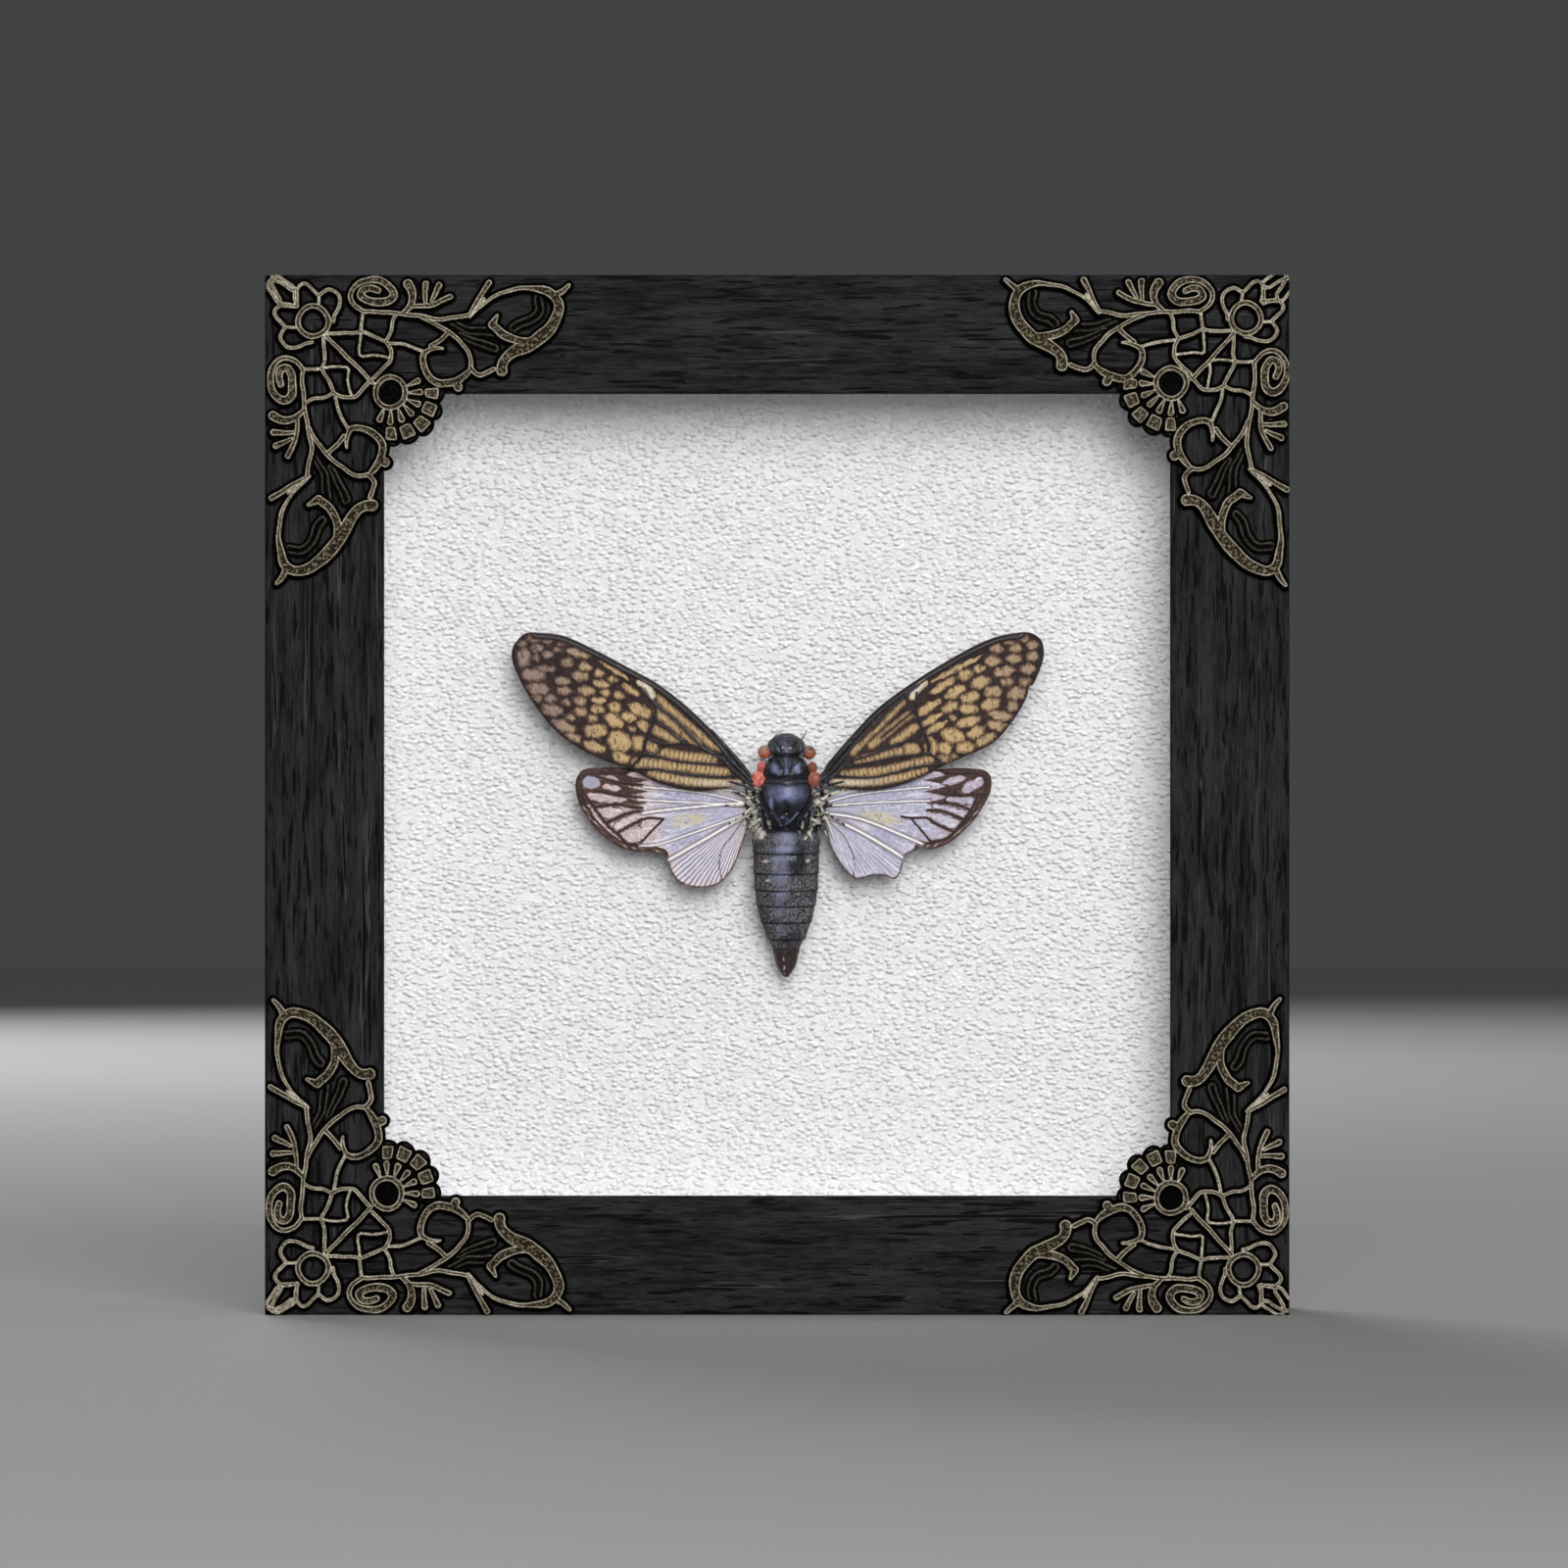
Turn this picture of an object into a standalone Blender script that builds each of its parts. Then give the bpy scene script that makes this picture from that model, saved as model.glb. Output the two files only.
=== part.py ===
# A cicada specimen in a black wooden box frame with pierced brass corner castings.
# Metres, +Z up and +X to the viewer's right. The glazed front faces -Y.
# The origin is the middle of the base that the frame stands on.

import math

import bmesh
import bpy
import numpy as np
from mathutils import Vector
from mathutils.geometry import delaunay_2d_cdt

MM = 0.001

# Driving dimensions of the frame
WIDTH = 170.0 * MM
HEIGHT = 172.6 * MM
DEPTH = 28.0 * MM
RAIL_FACE = 19.7 * MM
REBATE = 5.0 * MM
LIP = 3.0 * MM
ARRIS = 0.5 * MM
CASTING_THICKNESS = 1.7 * MM
TOUCH = 0.3 * MM

# What the rebate holds, front to back
GLASS_THICKNESS = 2.0 * MM
SPACER_THICKNESS = 2.2 * MM
PAPER_THICKNESS = 0.6 * MM
BOARD_THICKNESS = 3.0 * MM
PAPER_BEHIND_FACE = 17.0 * MM

# Planes worked out from them, on the Y axis
BACK = DEPTH / 2
CASTING_FRONT = -DEPTH / 2
WOOD_FRONT = CASTING_FRONT + CASTING_THICKNESS + TOUCH
GLASS_FRONT = WOOD_FRONT + LIP + TOUCH
GLASS_BACK = GLASS_FRONT + GLASS_THICKNESS
PAPER_FRONT = WOOD_FRONT + PAPER_BEHIND_FACE
PAPER_BACK = PAPER_FRONT + PAPER_THICKNESS
BOARD_FRONT = PAPER_BACK + TOUCH
BOARD_BACK = BOARD_FRONT + BOARD_THICKNESS

# Distance from the outer edge of the frame to the rebate's wall
WALL = RAIL_FACE - REBATE

# The specimen's own origin: the middle of its back, in line with the collar
SPECIMEN_X = 1.5 * MM
SPECIMEN_Z = 88.1 * MM


def clear_scene():
    for old in list(bpy.data.objects):
        bpy.data.objects.remove(old, do_unlink=True)


def finish(name, color, roughness, metallic=0.0, alpha=1.0):
    material = bpy.data.materials.new(name)
    material.use_nodes = True
    shader = material.node_tree.nodes["Principled BSDF"]
    shader.inputs["Base Color"].default_value = (*color, 1.0)
    shader.inputs["Roughness"].default_value = roughness
    shader.inputs["Metallic"].default_value = metallic
    shader.inputs["Alpha"].default_value = alpha
    material.diffuse_color = (*color, alpha)
    return material


def add_object(name, verts, faces, material, smooth_angle=None):
    """One named object from points in metres, its faces turned outwards."""
    mesh = bpy.data.meshes.new(name)
    mesh.from_pydata([tuple(v) for v in verts], [], faces)
    shape = bmesh.new()
    shape.from_mesh(mesh)
    bmesh.ops.recalc_face_normals(shape, faces=shape.faces)
    shape.to_mesh(mesh)
    shape.free()
    mesh.materials.append(material)
    if smooth_angle is not None:
        mesh.shade_smooth()
        mesh.set_sharp_from_angle(angle=math.radians(smooth_angle))
    item = bpy.data.objects.new(name, mesh)
    bpy.context.scene.collection.objects.link(item)
    return item


def add_block(name, low, high, material):
    """A plain rectangular piece between two corners."""
    xs, ys, zs = zip(low, high)
    verts = [(x, y, z) for x in xs for y in ys for z in zs]
    faces = [(0, 1, 3, 2), (4, 6, 7, 5), (0, 4, 5, 1), (2, 3, 7, 6), (0, 2, 6, 4), (1, 5, 7, 3)]
    return add_object(name, verts, faces, material)


def skin_of_rings(rings):
    """Faces between rings of equal length, with a cap at each end."""
    sides = len(rings[0])
    verts = [point for ring in rings for point in ring]
    faces = []
    for row in range(len(rings) - 1):
        for k in range(sides):
            a = row * sides + k
            b = row * sides + (k + 1) % sides
            faces.append((a, b, b + sides, a + sides))
    faces.append(tuple(range(sides)))
    faces.append(tuple(range(len(verts) - sides, len(verts))))
    return verts, faces


def smooth_path(points, steps, closed=False):
    """A curve through the points, with the given number of steps from each to the next."""
    knots = [Vector(p) for p in points]
    count = len(knots)
    path = []
    for i in range(count if closed else count - 1):
        here = knots[i]
        ahead = knots[(i + 1) % count]
        before = knots[i - 1] if closed or i > 0 else here
        after = knots[(i + 2) % count] if closed or i + 2 < count else ahead
        for step in range(steps):
            t = step / steps
            bend = 2 * before - 5 * here + 4 * ahead - after
            twist = 3 * here - before - 3 * ahead + after
            path.append(here + (t * (ahead - before) + t * t * bend + t ** 3 * twist) / 2)
    if not closed:
        path.append(knots[-1])
    return path


# The rails: an L section with its rebate behind, mitred at both ends

def rail_section():
    """(inset from the outer edge, y) round the section, from its outer back corner."""
    quarter = [math.radians(angle) for angle in (0, 30, 60, 90)]
    corner_y = WOOD_FRONT + ARRIS
    outer = [(ARRIS - ARRIS * math.cos(t), corner_y - ARRIS * math.sin(t)) for t in quarter]
    inner = [(RAIL_FACE - ARRIS + ARRIS * math.sin(t), corner_y - ARRIS * math.cos(t))
             for t in quarter]
    rebate = [(RAIL_FACE, WOOD_FRONT + LIP), (WALL, WOOD_FRONT + LIP), (WALL, BACK)]
    return [(0.0, BACK)] + outer + inner + rebate


def add_rail(name, outer_middle, along, inward, length, material):
    """A rail whose outer edge runs along one side of the frame."""
    mitre_gap = TOUCH / math.sqrt(2)
    rings = []
    for end in (-1, 1):
        ring = []
        for inset, y in rail_section():
            reach = end * (length / 2 - inset - mitre_gap)
            point = outer_middle + reach * along + inset * inward
            ring.append((point.x, y, point.z))
        rings.append(ring)
    return add_object(name, *skin_of_rings(rings), material)


def add_rails(material):
    x_axis = Vector((1, 0, 0))
    z_axis = Vector((0, 0, 1))
    middle = HEIGHT / 2
    add_rail("frame_rail_top", HEIGHT * z_axis, x_axis, -z_axis, WIDTH, material)
    add_rail("frame_rail_bottom", Vector(), x_axis, z_axis, WIDTH, material)
    add_rail("frame_rail_left", Vector((-WIDTH / 2, 0, middle)), z_axis, x_axis, HEIGHT, material)
    add_rail("frame_rail_right", Vector((WIDTH / 2, 0, middle)), z_axis, -x_axis, HEIGHT, material)


# What lies in the rebate: pane, spacers, paper, board, its points and the hanger

def add_glazing(glass, board, paper):
    fit = WALL + TOUCH
    x_edge = WIDTH / 2 - fit
    z_low = fit
    z_high = HEIGHT - fit
    add_block("glass_pane", (-x_edge, GLASS_FRONT, z_low), (x_edge, GLASS_BACK, z_high), glass)
    add_block("backing_paper", (-x_edge, PAPER_FRONT, z_low), (x_edge, PAPER_BACK, z_high), paper)
    add_block("backing_board", (-x_edge, BOARD_FRONT, z_low), (x_edge, BOARD_BACK, z_high), board)


def add_spacers(material):
    fit = WALL + TOUCH
    x_edge = WIDTH / 2 - fit
    x_inner = x_edge - SPACER_THICKNESS
    z_low = fit
    z_high = HEIGHT - fit
    front = GLASS_BACK + TOUCH
    back = PAPER_FRONT - TOUCH
    low_top = z_low + SPACER_THICKNESS
    high_under = z_high - SPACER_THICKNESS
    add_block("spacer_bottom", (-x_edge, front, z_low), (x_edge, back, low_top), material)
    add_block("spacer_top", (-x_edge, front, high_under), (x_edge, back, z_high), material)
    side_low = low_top + TOUCH
    side_high = high_under - TOUCH
    add_block("spacer_left", (-x_edge, front, side_low), (-x_inner, back, side_high), material)
    add_block("spacer_right", (x_inner, front, side_low), (x_edge, back, side_high), material)


def add_board_points(material):
    """Flat steel points, two to a side, that keep the board in the rebate."""
    length = 9.0 * MM
    half_root = 3.0 * MM
    half_tip = 1.6 * MM
    thickness = 0.5 * MM
    front = BOARD_BACK + TOUCH
    back = front + thickness
    spread = 36.0 * MM
    middle = Vector((0, 0, HEIGHT / 2))
    sides = [(Vector((0, 0, -1)), HEIGHT / 2), (Vector((0, 0, 1)), HEIGHT / 2),
             (Vector((-1, 0, 0)), WIDTH / 2), (Vector((1, 0, 0)), WIDTH / 2)]
    number = 0
    for outward, half_size in sides:
        across = Vector((outward.z, 0, -outward.x))
        root = half_size - WALL - TOUCH
        for place in (-spread, spread):
            number += 1
            outline = [(root, -half_root), (root, half_root), (root - length, half_tip),
                       (root - length, -half_tip)]
            rings = []
            for y in (front, back):
                spots = [middle + out * outward + (place + side) * across for out, side in outline]
                rings.append([(spot.x, y, spot.z) for spot in spots])
            add_object(f"board_point_{number}", *skin_of_rings(rings), material)


def add_hanger(material):
    """A toothed strip across the back of the board, near the top."""
    length = 45.0 * MM
    height = 7.0 * MM
    thickness = 1.0 * MM
    tooth = 1.6 * MM
    teeth = 14
    top = HEIGHT - WALL - 16.0 * MM
    half = length / 2
    flat = (length - teeth * tooth) / 2
    outline = [(-half, top), (-half, top - height), (-half + flat, top - height)]
    for n in range(teeth):
        start = -half + flat + n * tooth
        outline.append((start + tooth / 2, top - height + tooth * 0.7))
        outline.append((start + tooth, top - height))
    outline += [(half, top - height), (half, top)]
    front = BOARD_BACK + TOUCH
    rings = [[(x, y, z) for x, z in outline] for y in (front, front + thickness)]
    add_object("hanger", *skin_of_rings(rings), material)


# The corner castings. Their openwork is drawn in millimetres, in from the frame's outer
# corner: u along one edge and v in from it. Each stroke is (widths, points); its widths are
# spread evenly from its start to its end. Both arms carry the same ornament, so a stroke is
# drawn once and then fitted to each arm.

ARM_STROKES = {
    "corner petal": ((0.8,), [(5.4, 5.3), (5.4, 2.7), (4.5, 2.6), (3.2, 1.7), (1.7, 1.1),
                              (0.9, 1.2)]),
    "outer petal": ((0.8,), [(5.4, 2.7), (5.9, 1.9), (6.6, 1.6), (7.4, 1.9), (8.2, 2.7), (8.9, 3.4)]),
    "petal wall": ((0.8,), [(9.0, 5.2), (9.0, 3.5)]),
    "inner petal": ((0.8,), [(9.0, 3.5), (10.5, 2.6), (12.3, 3.5), (12.5, 5.0), (11.4, 7.9)]),
    "spiral": ((0.8, 0.8, 1.4, 0.9, 0.8),
               [(16.5, 6.3), (14.9, 5.1), (14.3, 3.5), (14.9, 2.2), (16.3, 1.2), (18.1, 0.9),
                (19.7, 1.3), (21.0, 2.4), (21.4, 3.6), (20.5, 4.5), (18.9, 4.6), (17.3, 4.4),
                (16.2, 3.8), (16.3, 2.8), (17.8, 2.3), (18.9, 2.7)]),
    "stem": ((0.9,), [(16.3, 6.3), (19.6, 6.3), (24.4, 6.8), (29.3, 7.5), (33.7, 6.8)]),
    "first finger": ((0.9, 2.0), [(22.8, 6.6), (24.5, 5.0), (24.5, 3.0), (24.1, 1.6)]),
    "second finger": ((0.8, 1.3), [(26.7, 5.0), (26.7, 1.6)]),
    "third finger": ((0.8, 1.3), [(27.6, 5.0), (28.2, 3.4), (28.9, 1.9)]),
    "palmette base": ((0.9, 1.1), [(23.8, 5.4), (26.1, 5.3), (28.3, 4.9), (30.8, 3.7)]),
    "twig": ((0.8, 1.1), [(33.9, 6.9), (35.0, 5.1), (36.1, 3.2), (37.2, 1.5)]),
    "teardrop": ((0.8, 0.9, 1.0, 1.7, 1.8, 2.3, 2.3, 1.8, 2.1),
                 [(33.9, 6.8), (36.9, 4.5), (40.3, 2.8), (44.2, 2.3), (47.5, 3.3), (48.7, 5.6),
                  (47.5, 8.8), (44.7, 11.3), (41.3, 12.9), (39.6, 14.4), (39.4, 16.0)]),
    "teardrop spur": ((1.3, 0.8), [(48.2, 3.6), (49.4, 2.8), (50.4, 1.9)]),
    "teardrop hook": ((1.4, 1.6, 1.4), [(44.7, 11.0), (41.3, 10.8), (39.5, 10.0), (37.8, 8.4)]),
    "hook link": ((1.2,), [(41.0, 12.6), (40.5, 10.6)]),
    "low leaf": ((0.9, 1.4), [(30.4, 7.7), (34.2, 9.3), (38.4, 9.4)]),
    "branch": ((0.9,), [(26.1, 7.2), (29.3, 8.8), (32.1, 10.8), (33.9, 13.1), (34.2, 15.8)]),
    "scroll": ((1.0, 1.4, 1.4, 1.3, 0.9, 0.8),
               [(34.0, 16.1), (31.9, 17.6), (29.4, 18.1), (27.2, 16.8), (26.3, 14.5), (26.9, 12.9),
                (29.6, 12.3)]),
    "scroll tail": ((1.0,), [(27.6, 12.2), (29.1, 11.0), (30.3, 9.8)]),
    "scroll knob": ((1.6,), [(32.0, 18.4), (32.1, 18.6)]),
    "ball link": ((1.0,), [(34.2, 15.6), (35.6, 16.6), (38.0, 15.8)]),
    "lattice line": ((0.8,), [(10.6, 9.8), (14.7, 9.8), (16.2, 9.5), (20.2, 11.2)]),
    "lattice arc": ((0.9,), [(20.2, 11.1), (21.1, 13.4), (20.1, 15.3), (18.0, 17.2)]),
    "lattice bar": ((0.8,), [(16.0, 9.6), (15.7, 13.3), (20.6, 13.8)]),
    "first rung": ((0.8,), [(16.3, 6.4), (16.1, 9.5)]),
    "second rung": ((0.8,), [(21.8, 6.6), (21.0, 9.5), (20.2, 11.1)]),
    "scroll link": ((0.8,), [(20.5, 11.5), (24.4, 12.1), (27.0, 12.9)]),
}
DIAGONAL_STROKE = ((0.8,), [(10.6, 10.6), (18.0, 18.0)])
FLOWER_RING_RADIUS = 2.45
RING_WIDTH = 0.8
FAN_RING_RADIUS = 2.45
FAN_BAND_RADIUS = 6.6
FAN_BAND_HALF = 1.0
FAN_WEDGE_ENDS = (2.9, 5.4)
FAN_WEDGE_WIDTHS = (0.8, 1.4)
FAN_LOBE_RADIUS = 1.45
FAN_LOBE_CENTRE = 7.6
FAN_LOBE_DRAW = 0.01
FAN_WEDGES = (-67, -45, -22, 0, 22, 45, 67)
FAN_SCALLOPS = (-44, -22, 0, 22, 44)
FAN_SPREAD = 55
GRID = 0.2
OPENWORK_SIZE = 54.0
EDGE_MARGIN = 0.15
WINDOW = 1.6
SMALLEST_HOLE = 1.0
OUTLINE_TOLERANCE = 0.31

# The castings are hand fitted: the same spots lie a little differently on each arm. In order:
# flower ring, spiral, first finger, palmette end, twig end, teardrop spur, ball, scroll.
DRAWN_SPOTS = [(8.1, 7.8), (17.9, 3.2), (23.8, 1.2), (30.8, 3.7), (37.3, 1.2), (50.6, 1.8),
               (39.4, 16.0), (30.4, 14.5)]
# Each casting: side of the frame, top or bottom, fan centre, spots of the arm that lies
# along the rail above or below it, spots of the arm that runs down or up the side rail
CORNERS = {
    "corner_casting_top_left": (
        -1, 1, (20.9, 19.6),
        [(8.1, 7.8), (17.9, 3.2), (23.8, 1.2), (30.8, 3.7), (37.3, 1.2), (50.6, 1.8),
         (39.4, 16.0), (30.4, 14.5)],
        [(8.1, 7.8), (17.3, 3.3), (23.5, 0.9), (30.2, 3.8), (37.3, 0.8), (51.4, 1.9),
         (38.3, 17.9), (29.4, 16.2)]),
    "corner_casting_top_right": (
        1, 1, (19.7, 18.1),
        [(7.3, 7.3), (16.4, 3.3), (21.8, 0.9), (28.4, 3.1), (34.3, 0.6), (47.2, 0.8),
         (37.8, 15.2), (28.7, 13.5)],
        [(7.3, 7.3), (16.0, 2.8), (22.0, 0.6), (28.9, 3.2), (35.9, 0.2), (51.7, 0.6),
         (37.4, 17.2), (28.2, 15.2)]),
    "corner_casting_bottom_left": (
        -1, -1, (20.3, 20.2),
        [(8.1, 7.8), (17.6, 3.3), (23.7, 0.9), (30.6, 3.7), (37.0, 0.4), (50.7, 0.9),
         (39.0, 16.1), (29.9, 14.7)],
        [(7.8, 8.1), (17.5, 3.0), (23.9, 0.9), (31.3, 3.7), (38.0, 0.7), (52.4, 1.4),
         (40.0, 17.5), (30.3, 15.4)]),
    "corner_casting_bottom_right": (
        1, -1, (19.7, 19.5),
        [(7.7, 7.6), (16.7, 3.2), (22.1, 0.7), (28.9, 3.0), (34.7, 0.2), (47.1, 0.4),
         (37.2, 14.9), (28.7, 14.4)],
        [(7.6, 7.7), (17.1, 3.0), (23.6, 0.9), (30.5, 3.7), (37.6, 0.6), (52.6, 1.6),
         (38.8, 17.0), (29.7, 15.6)]),
}


def fitted(points, spots):
    """Points of the drawing moved to where they lie on one arm, led by the nearest spots."""
    moved = []
    for u, v in points:
        pull = [1 / ((u - a) ** 2 + (v - b) ** 2 + 1) for a, b in DRAWN_SPOTS]
        shift_u = sum(w * (to[0] - at[0]) for w, at, to in zip(pull, DRAWN_SPOTS, spots))
        shift_v = sum(w * (to[1] - at[1]) for w, at, to in zip(pull, DRAWN_SPOTS, spots))
        moved.append((u + shift_u / sum(pull), v + shift_v / sum(pull)))
    return moved


def lay_stroke(field, widths, points):
    """Lower the field to its distance from the edge of a stroke, negative inside it."""
    path = smooth_path(points, 3)
    spread = np.linspace(0, 1, len(path))
    half = np.interp(spread, np.linspace(0, 1, len(widths)), widths) / 2
    for a, b, r_a, r_b in zip(path, path[1:], half, half[1:]):
        low = [max(0, int((min(p, q) - WINDOW) / GRID)) for p, q in zip(a, b)]
        high = [int((max(p, q) + WINDOW) / GRID) + 2 for p, q in zip(a, b)]
        window = field[low[0]:high[0], low[1]:high[1]]
        u, v = np.indices(window.shape)
        u = (u + low[0]) * GRID - a.x
        v = (v + low[1]) * GRID - a.y
        du, dv = b - a
        t = np.clip((u * du + v * dv) / (du * du + dv * dv), 0, 1)
        edge = np.hypot(u - t * du, v - t * dv) - r_a - (r_b - r_a) * t
        np.minimum(window, edge, out=window)


def lay_fan(field, u, v, centre):
    """The fan at the inner corner: a ring, its wedges and a scalloped edge."""
    du = u - centre[0]
    dv = v - centre[1]
    distance = np.hypot(du, dv)
    ring = np.abs(distance - FAN_RING_RADIUS) - RING_WIDTH / 2
    off_axis = np.abs(np.arctan2(dv - du, du + dv))
    band = np.maximum(np.abs(distance - FAN_BAND_RADIUS) - FAN_BAND_HALF,
                      (off_axis - math.radians(FAN_SPREAD)) * FAN_BAND_RADIUS)
    np.minimum(field, np.minimum(ring, band), out=field)
    for angle in FAN_WEDGES:
        turn = math.radians(45 + angle)
        reach = [(centre[0] + r * math.cos(turn), centre[1] + r * math.sin(turn))
                 for r in FAN_WEDGE_ENDS]
        lay_stroke(field, FAN_WEDGE_WIDTHS, reach)
    for angle in FAN_SCALLOPS:
        turn = math.radians(45 + angle)
        lean = FAN_LOBE_CENTRE - FAN_LOBE_DRAW * abs(angle)
        lobe = np.hypot(du - lean * math.cos(turn), dv - lean * math.sin(turn)) - FAN_LOBE_RADIUS
        np.minimum(field, lobe, out=field)


def openwork_field(centre, along, inward):
    """One casting as distances to its edge, on a square grid."""
    steps = int(OPENWORK_SIZE / GRID) + 1
    u, v = np.indices((steps, steps)) * GRID
    field = np.full(u.shape, 2 * WINDOW)
    for widths, points in ARM_STROKES.values():
        lay_stroke(field, widths, fitted(points, along))
        lay_stroke(field, widths, [(b, a) for a, b in fitted(points, inward)])
    lay_stroke(field, DIAGONAL_STROKE[0], fitted(DIAGONAL_STROKE[1], along))
    ring = np.hypot(u - along[0][0], v - along[0][1]) - FLOWER_RING_RADIUS
    np.minimum(field, np.abs(ring) - RING_WIDTH / 2, out=field)
    lay_fan(field, u, v, centre)
    return np.maximum(field, EDGE_MARGIN - np.minimum(u, v))


def contour_loops(field):
    """Closed loops along the zero line of the field, with the metal on their left."""
    inside = field < 0
    corner_count = (inside[:-1, :-1].astype(int) + inside[1:, :-1]
                    + inside[1:, 1:] + inside[:-1, 1:])
    follow = {}
    spot = {}
    for i, j in np.argwhere((corner_count > 0) & (corner_count < 4)).tolist():
        corners = [(i, j), (i + 1, j), (i + 1, j + 1), (i, j + 1)]
        crossings = []
        for p, q in zip(corners, corners[1:] + corners[:1]):
            if inside[p] != inside[q]:
                key = (min(p, q), max(p, q))
                share = float(field[p] / (field[p] - field[q]))
                spot[key] = (Vector(p) + share * (Vector(q) - Vector(p))) * GRID
                crossings.append((key, inside[p]))
        for n, (key, leaves) in enumerate(crossings):
            if leaves:
                follow[key] = crossings[(n + 1) % len(crossings)][0]
    loops = []
    while follow:
        key = next(iter(follow))
        loop = []
        while key in follow:
            loop.append(spot[key])
            key = follow.pop(key)
        loops.append(loop)
    return loops


def straightened(points):
    """The same line with only the points that its shape needs."""
    start, end = points[0], points[-1]
    run = end - start
    length = max(run.length, 1e-9)
    offsets = [abs(run.x * (p.y - start.y) - run.y * (p.x - start.x)) / length for p in points]
    worst = max(range(len(points)), key=lambda k: offsets[k])
    if offsets[worst] < OUTLINE_TOLERANCE:
        return [start, end]
    return straightened(points[:worst + 1])[:-1] + straightened(points[worst:])


def tidy_loop(loop):
    far = max(range(len(loop)), key=lambda k: (loop[k] - loop[0]).length)
    return straightened(loop[:far + 1])[:-1] + straightened(loop[far:] + loop[:1])[:-1]


def loop_area(loop):
    return sum(a.x * b.y - b.x * a.y for a, b in zip(loop, loop[1:] + loop[:1])) / 2


def in_metal(spot, loops):
    """Whether a point lies within the outline and outside its holes."""
    crossings = 0
    for loop in loops:
        for a, b in zip(loop, loop[1:] + loop[:1]):
            if (a.y > spot.y) != (b.y > spot.y):
                crossings += spot.x < a.x + (spot.y - a.y) * (b.x - a.x) / (b.y - a.y)
    return crossings % 2 == 1


def openwork_plate(field):
    """Flat triangles that fill the casting's outline and leave its holes open."""
    loops = [tidy_loop(loop) for loop in contour_loops(field)
             if abs(loop_area(loop)) > SMALLEST_HOLE]
    points = []
    edges = []
    for loop in loops:
        first = len(points)
        count = len(loop)
        points += loop
        edges += [(first + k, first + (k + 1) % count) for k in range(count)]
    spots, _, triangles, *_ = delaunay_2d_cdt(points, edges, [], 1, 1e-6)
    faces = [face for face in triangles
             if in_metal(sum((spots[k] for k in face), Vector((0, 0))) / 3, loops)]
    return spots, faces


def solid_from_plate(front_points, back_points, faces):
    """A closed body from a flat or bent sheet of faces and its copy behind."""
    count = len(front_points)
    used = {}
    for face in faces:
        for a, b in zip(face, face[1:] + face[:1]):
            used[(a, b)] = True
    rim = [(a, b) for a, b in used if (b, a) not in used]
    solid = [tuple(face) for face in faces]
    solid += [tuple(count + k for k in reversed(face)) for face in faces]
    solid += [(b, a, a + count, b + count) for a, b in rim]
    return list(front_points) + list(back_points), solid


def add_castings(material):
    for name, (side, height_side, centre, along, inward) in CORNERS.items():
        spots, faces = openwork_plate(openwork_field(centre, along, inward))
        corner_z = HEIGHT if height_side > 0 else 0.0
        sheets = []
        for y in (CASTING_FRONT, CASTING_FRONT + CASTING_THICKNESS):
            sheets.append([(side * (WIDTH / 2 - spot.x * MM), y,
                            corner_z - height_side * spot.y * MM) for spot in spots])
        add_object(name, *solid_from_plate(*sheets, faces), material)


# The cicada's body. Sections from the head to the tail, in millimetres from the specimen's
# origin: (z, half width, y of the back, y of the belly). The back faces the viewer.

HEAD_AND_THORAX = [
    (8.45, 0.7, -0.3, 1.4), (8.2, 1.6, -1.0, 2.3), (7.6, 2.3, -1.7, 3.0), (6.8, 2.95, -2.3, 3.4),
    (5.9, 3.05, -2.7, 3.5), (5.1, 2.5, -2.8, 3.5), (4.6, 2.6, -3.1, 3.5), (3.3, 3.4, -3.9, 3.6),
    (1.7, 4.2, -4.5, 3.7), (1.1, 4.2, -4.6, 3.8), (0.6, 3.8, -4.5, 3.8), (0.1, 4.1, -4.9, 3.8),
    (-0.7, 4.6, -5.2, 3.9), (-2.2, 4.6, -5.4, 4.0), (-3.8, 4.3, -5.3, 4.0),
    (-5.5, 4.0, -5.0, 4.0), (-6.9, 3.9, -4.4, 3.9), (-7.4, 4.9, -4.2, 3.9),
    (-8.4, 5.4, -4.4, 3.9),
]
ABDOMEN = [
    (-9.6, 5.5, -4.7, 3.9), (-13.0, 5.45, -4.9, 3.9), (-17.9, 5.2, -4.4, 3.7),
    (-20.5, 4.8, -3.8, 3.5), (-23.2, 4.1, -2.8, 3.2), (-25.5, 3.2, -1.7, 2.9),
    (-27.4, 2.2, -0.7, 2.7),
]
TAIL_SHEATH = [
    (-27.8, 2.15, -0.5, 2.7), (-29.2, 2.0, -0.2, 2.6), (-30.6, 1.55, 0.1, 2.4),
    (-31.6, 0.9, 0.4, 2.1), (-32.3, 0.35, 0.8, 1.7),
]
SEGMENT_ENDS = (-11.6, -15.1, -17.9, -20.5, -23.2, -25.5)
SEGMENT_STEP = 0.14
BODY_SIDES = 14
LUMP_ROWS = 6
LUMP_SIDES = 8
LIMB_SIDES = 5

# Lumps fused to the body: centre and half sizes, in millimetres, for the right-hand side
EYE = ((3.6, -0.9, 5.5), (1.4, 1.2, 1.15))
FORE_LOBE = ((4.2, -1.6, 2.8), (0.8, 0.9, 1.0))
REAR_LOBE = ((4.75, -1.9, 0.8), (1.05, 0.8, 1.05))
WING_HINGE = ((5.1, -1.2, -3.9), (1.1, 1.5, 3.3))

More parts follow.
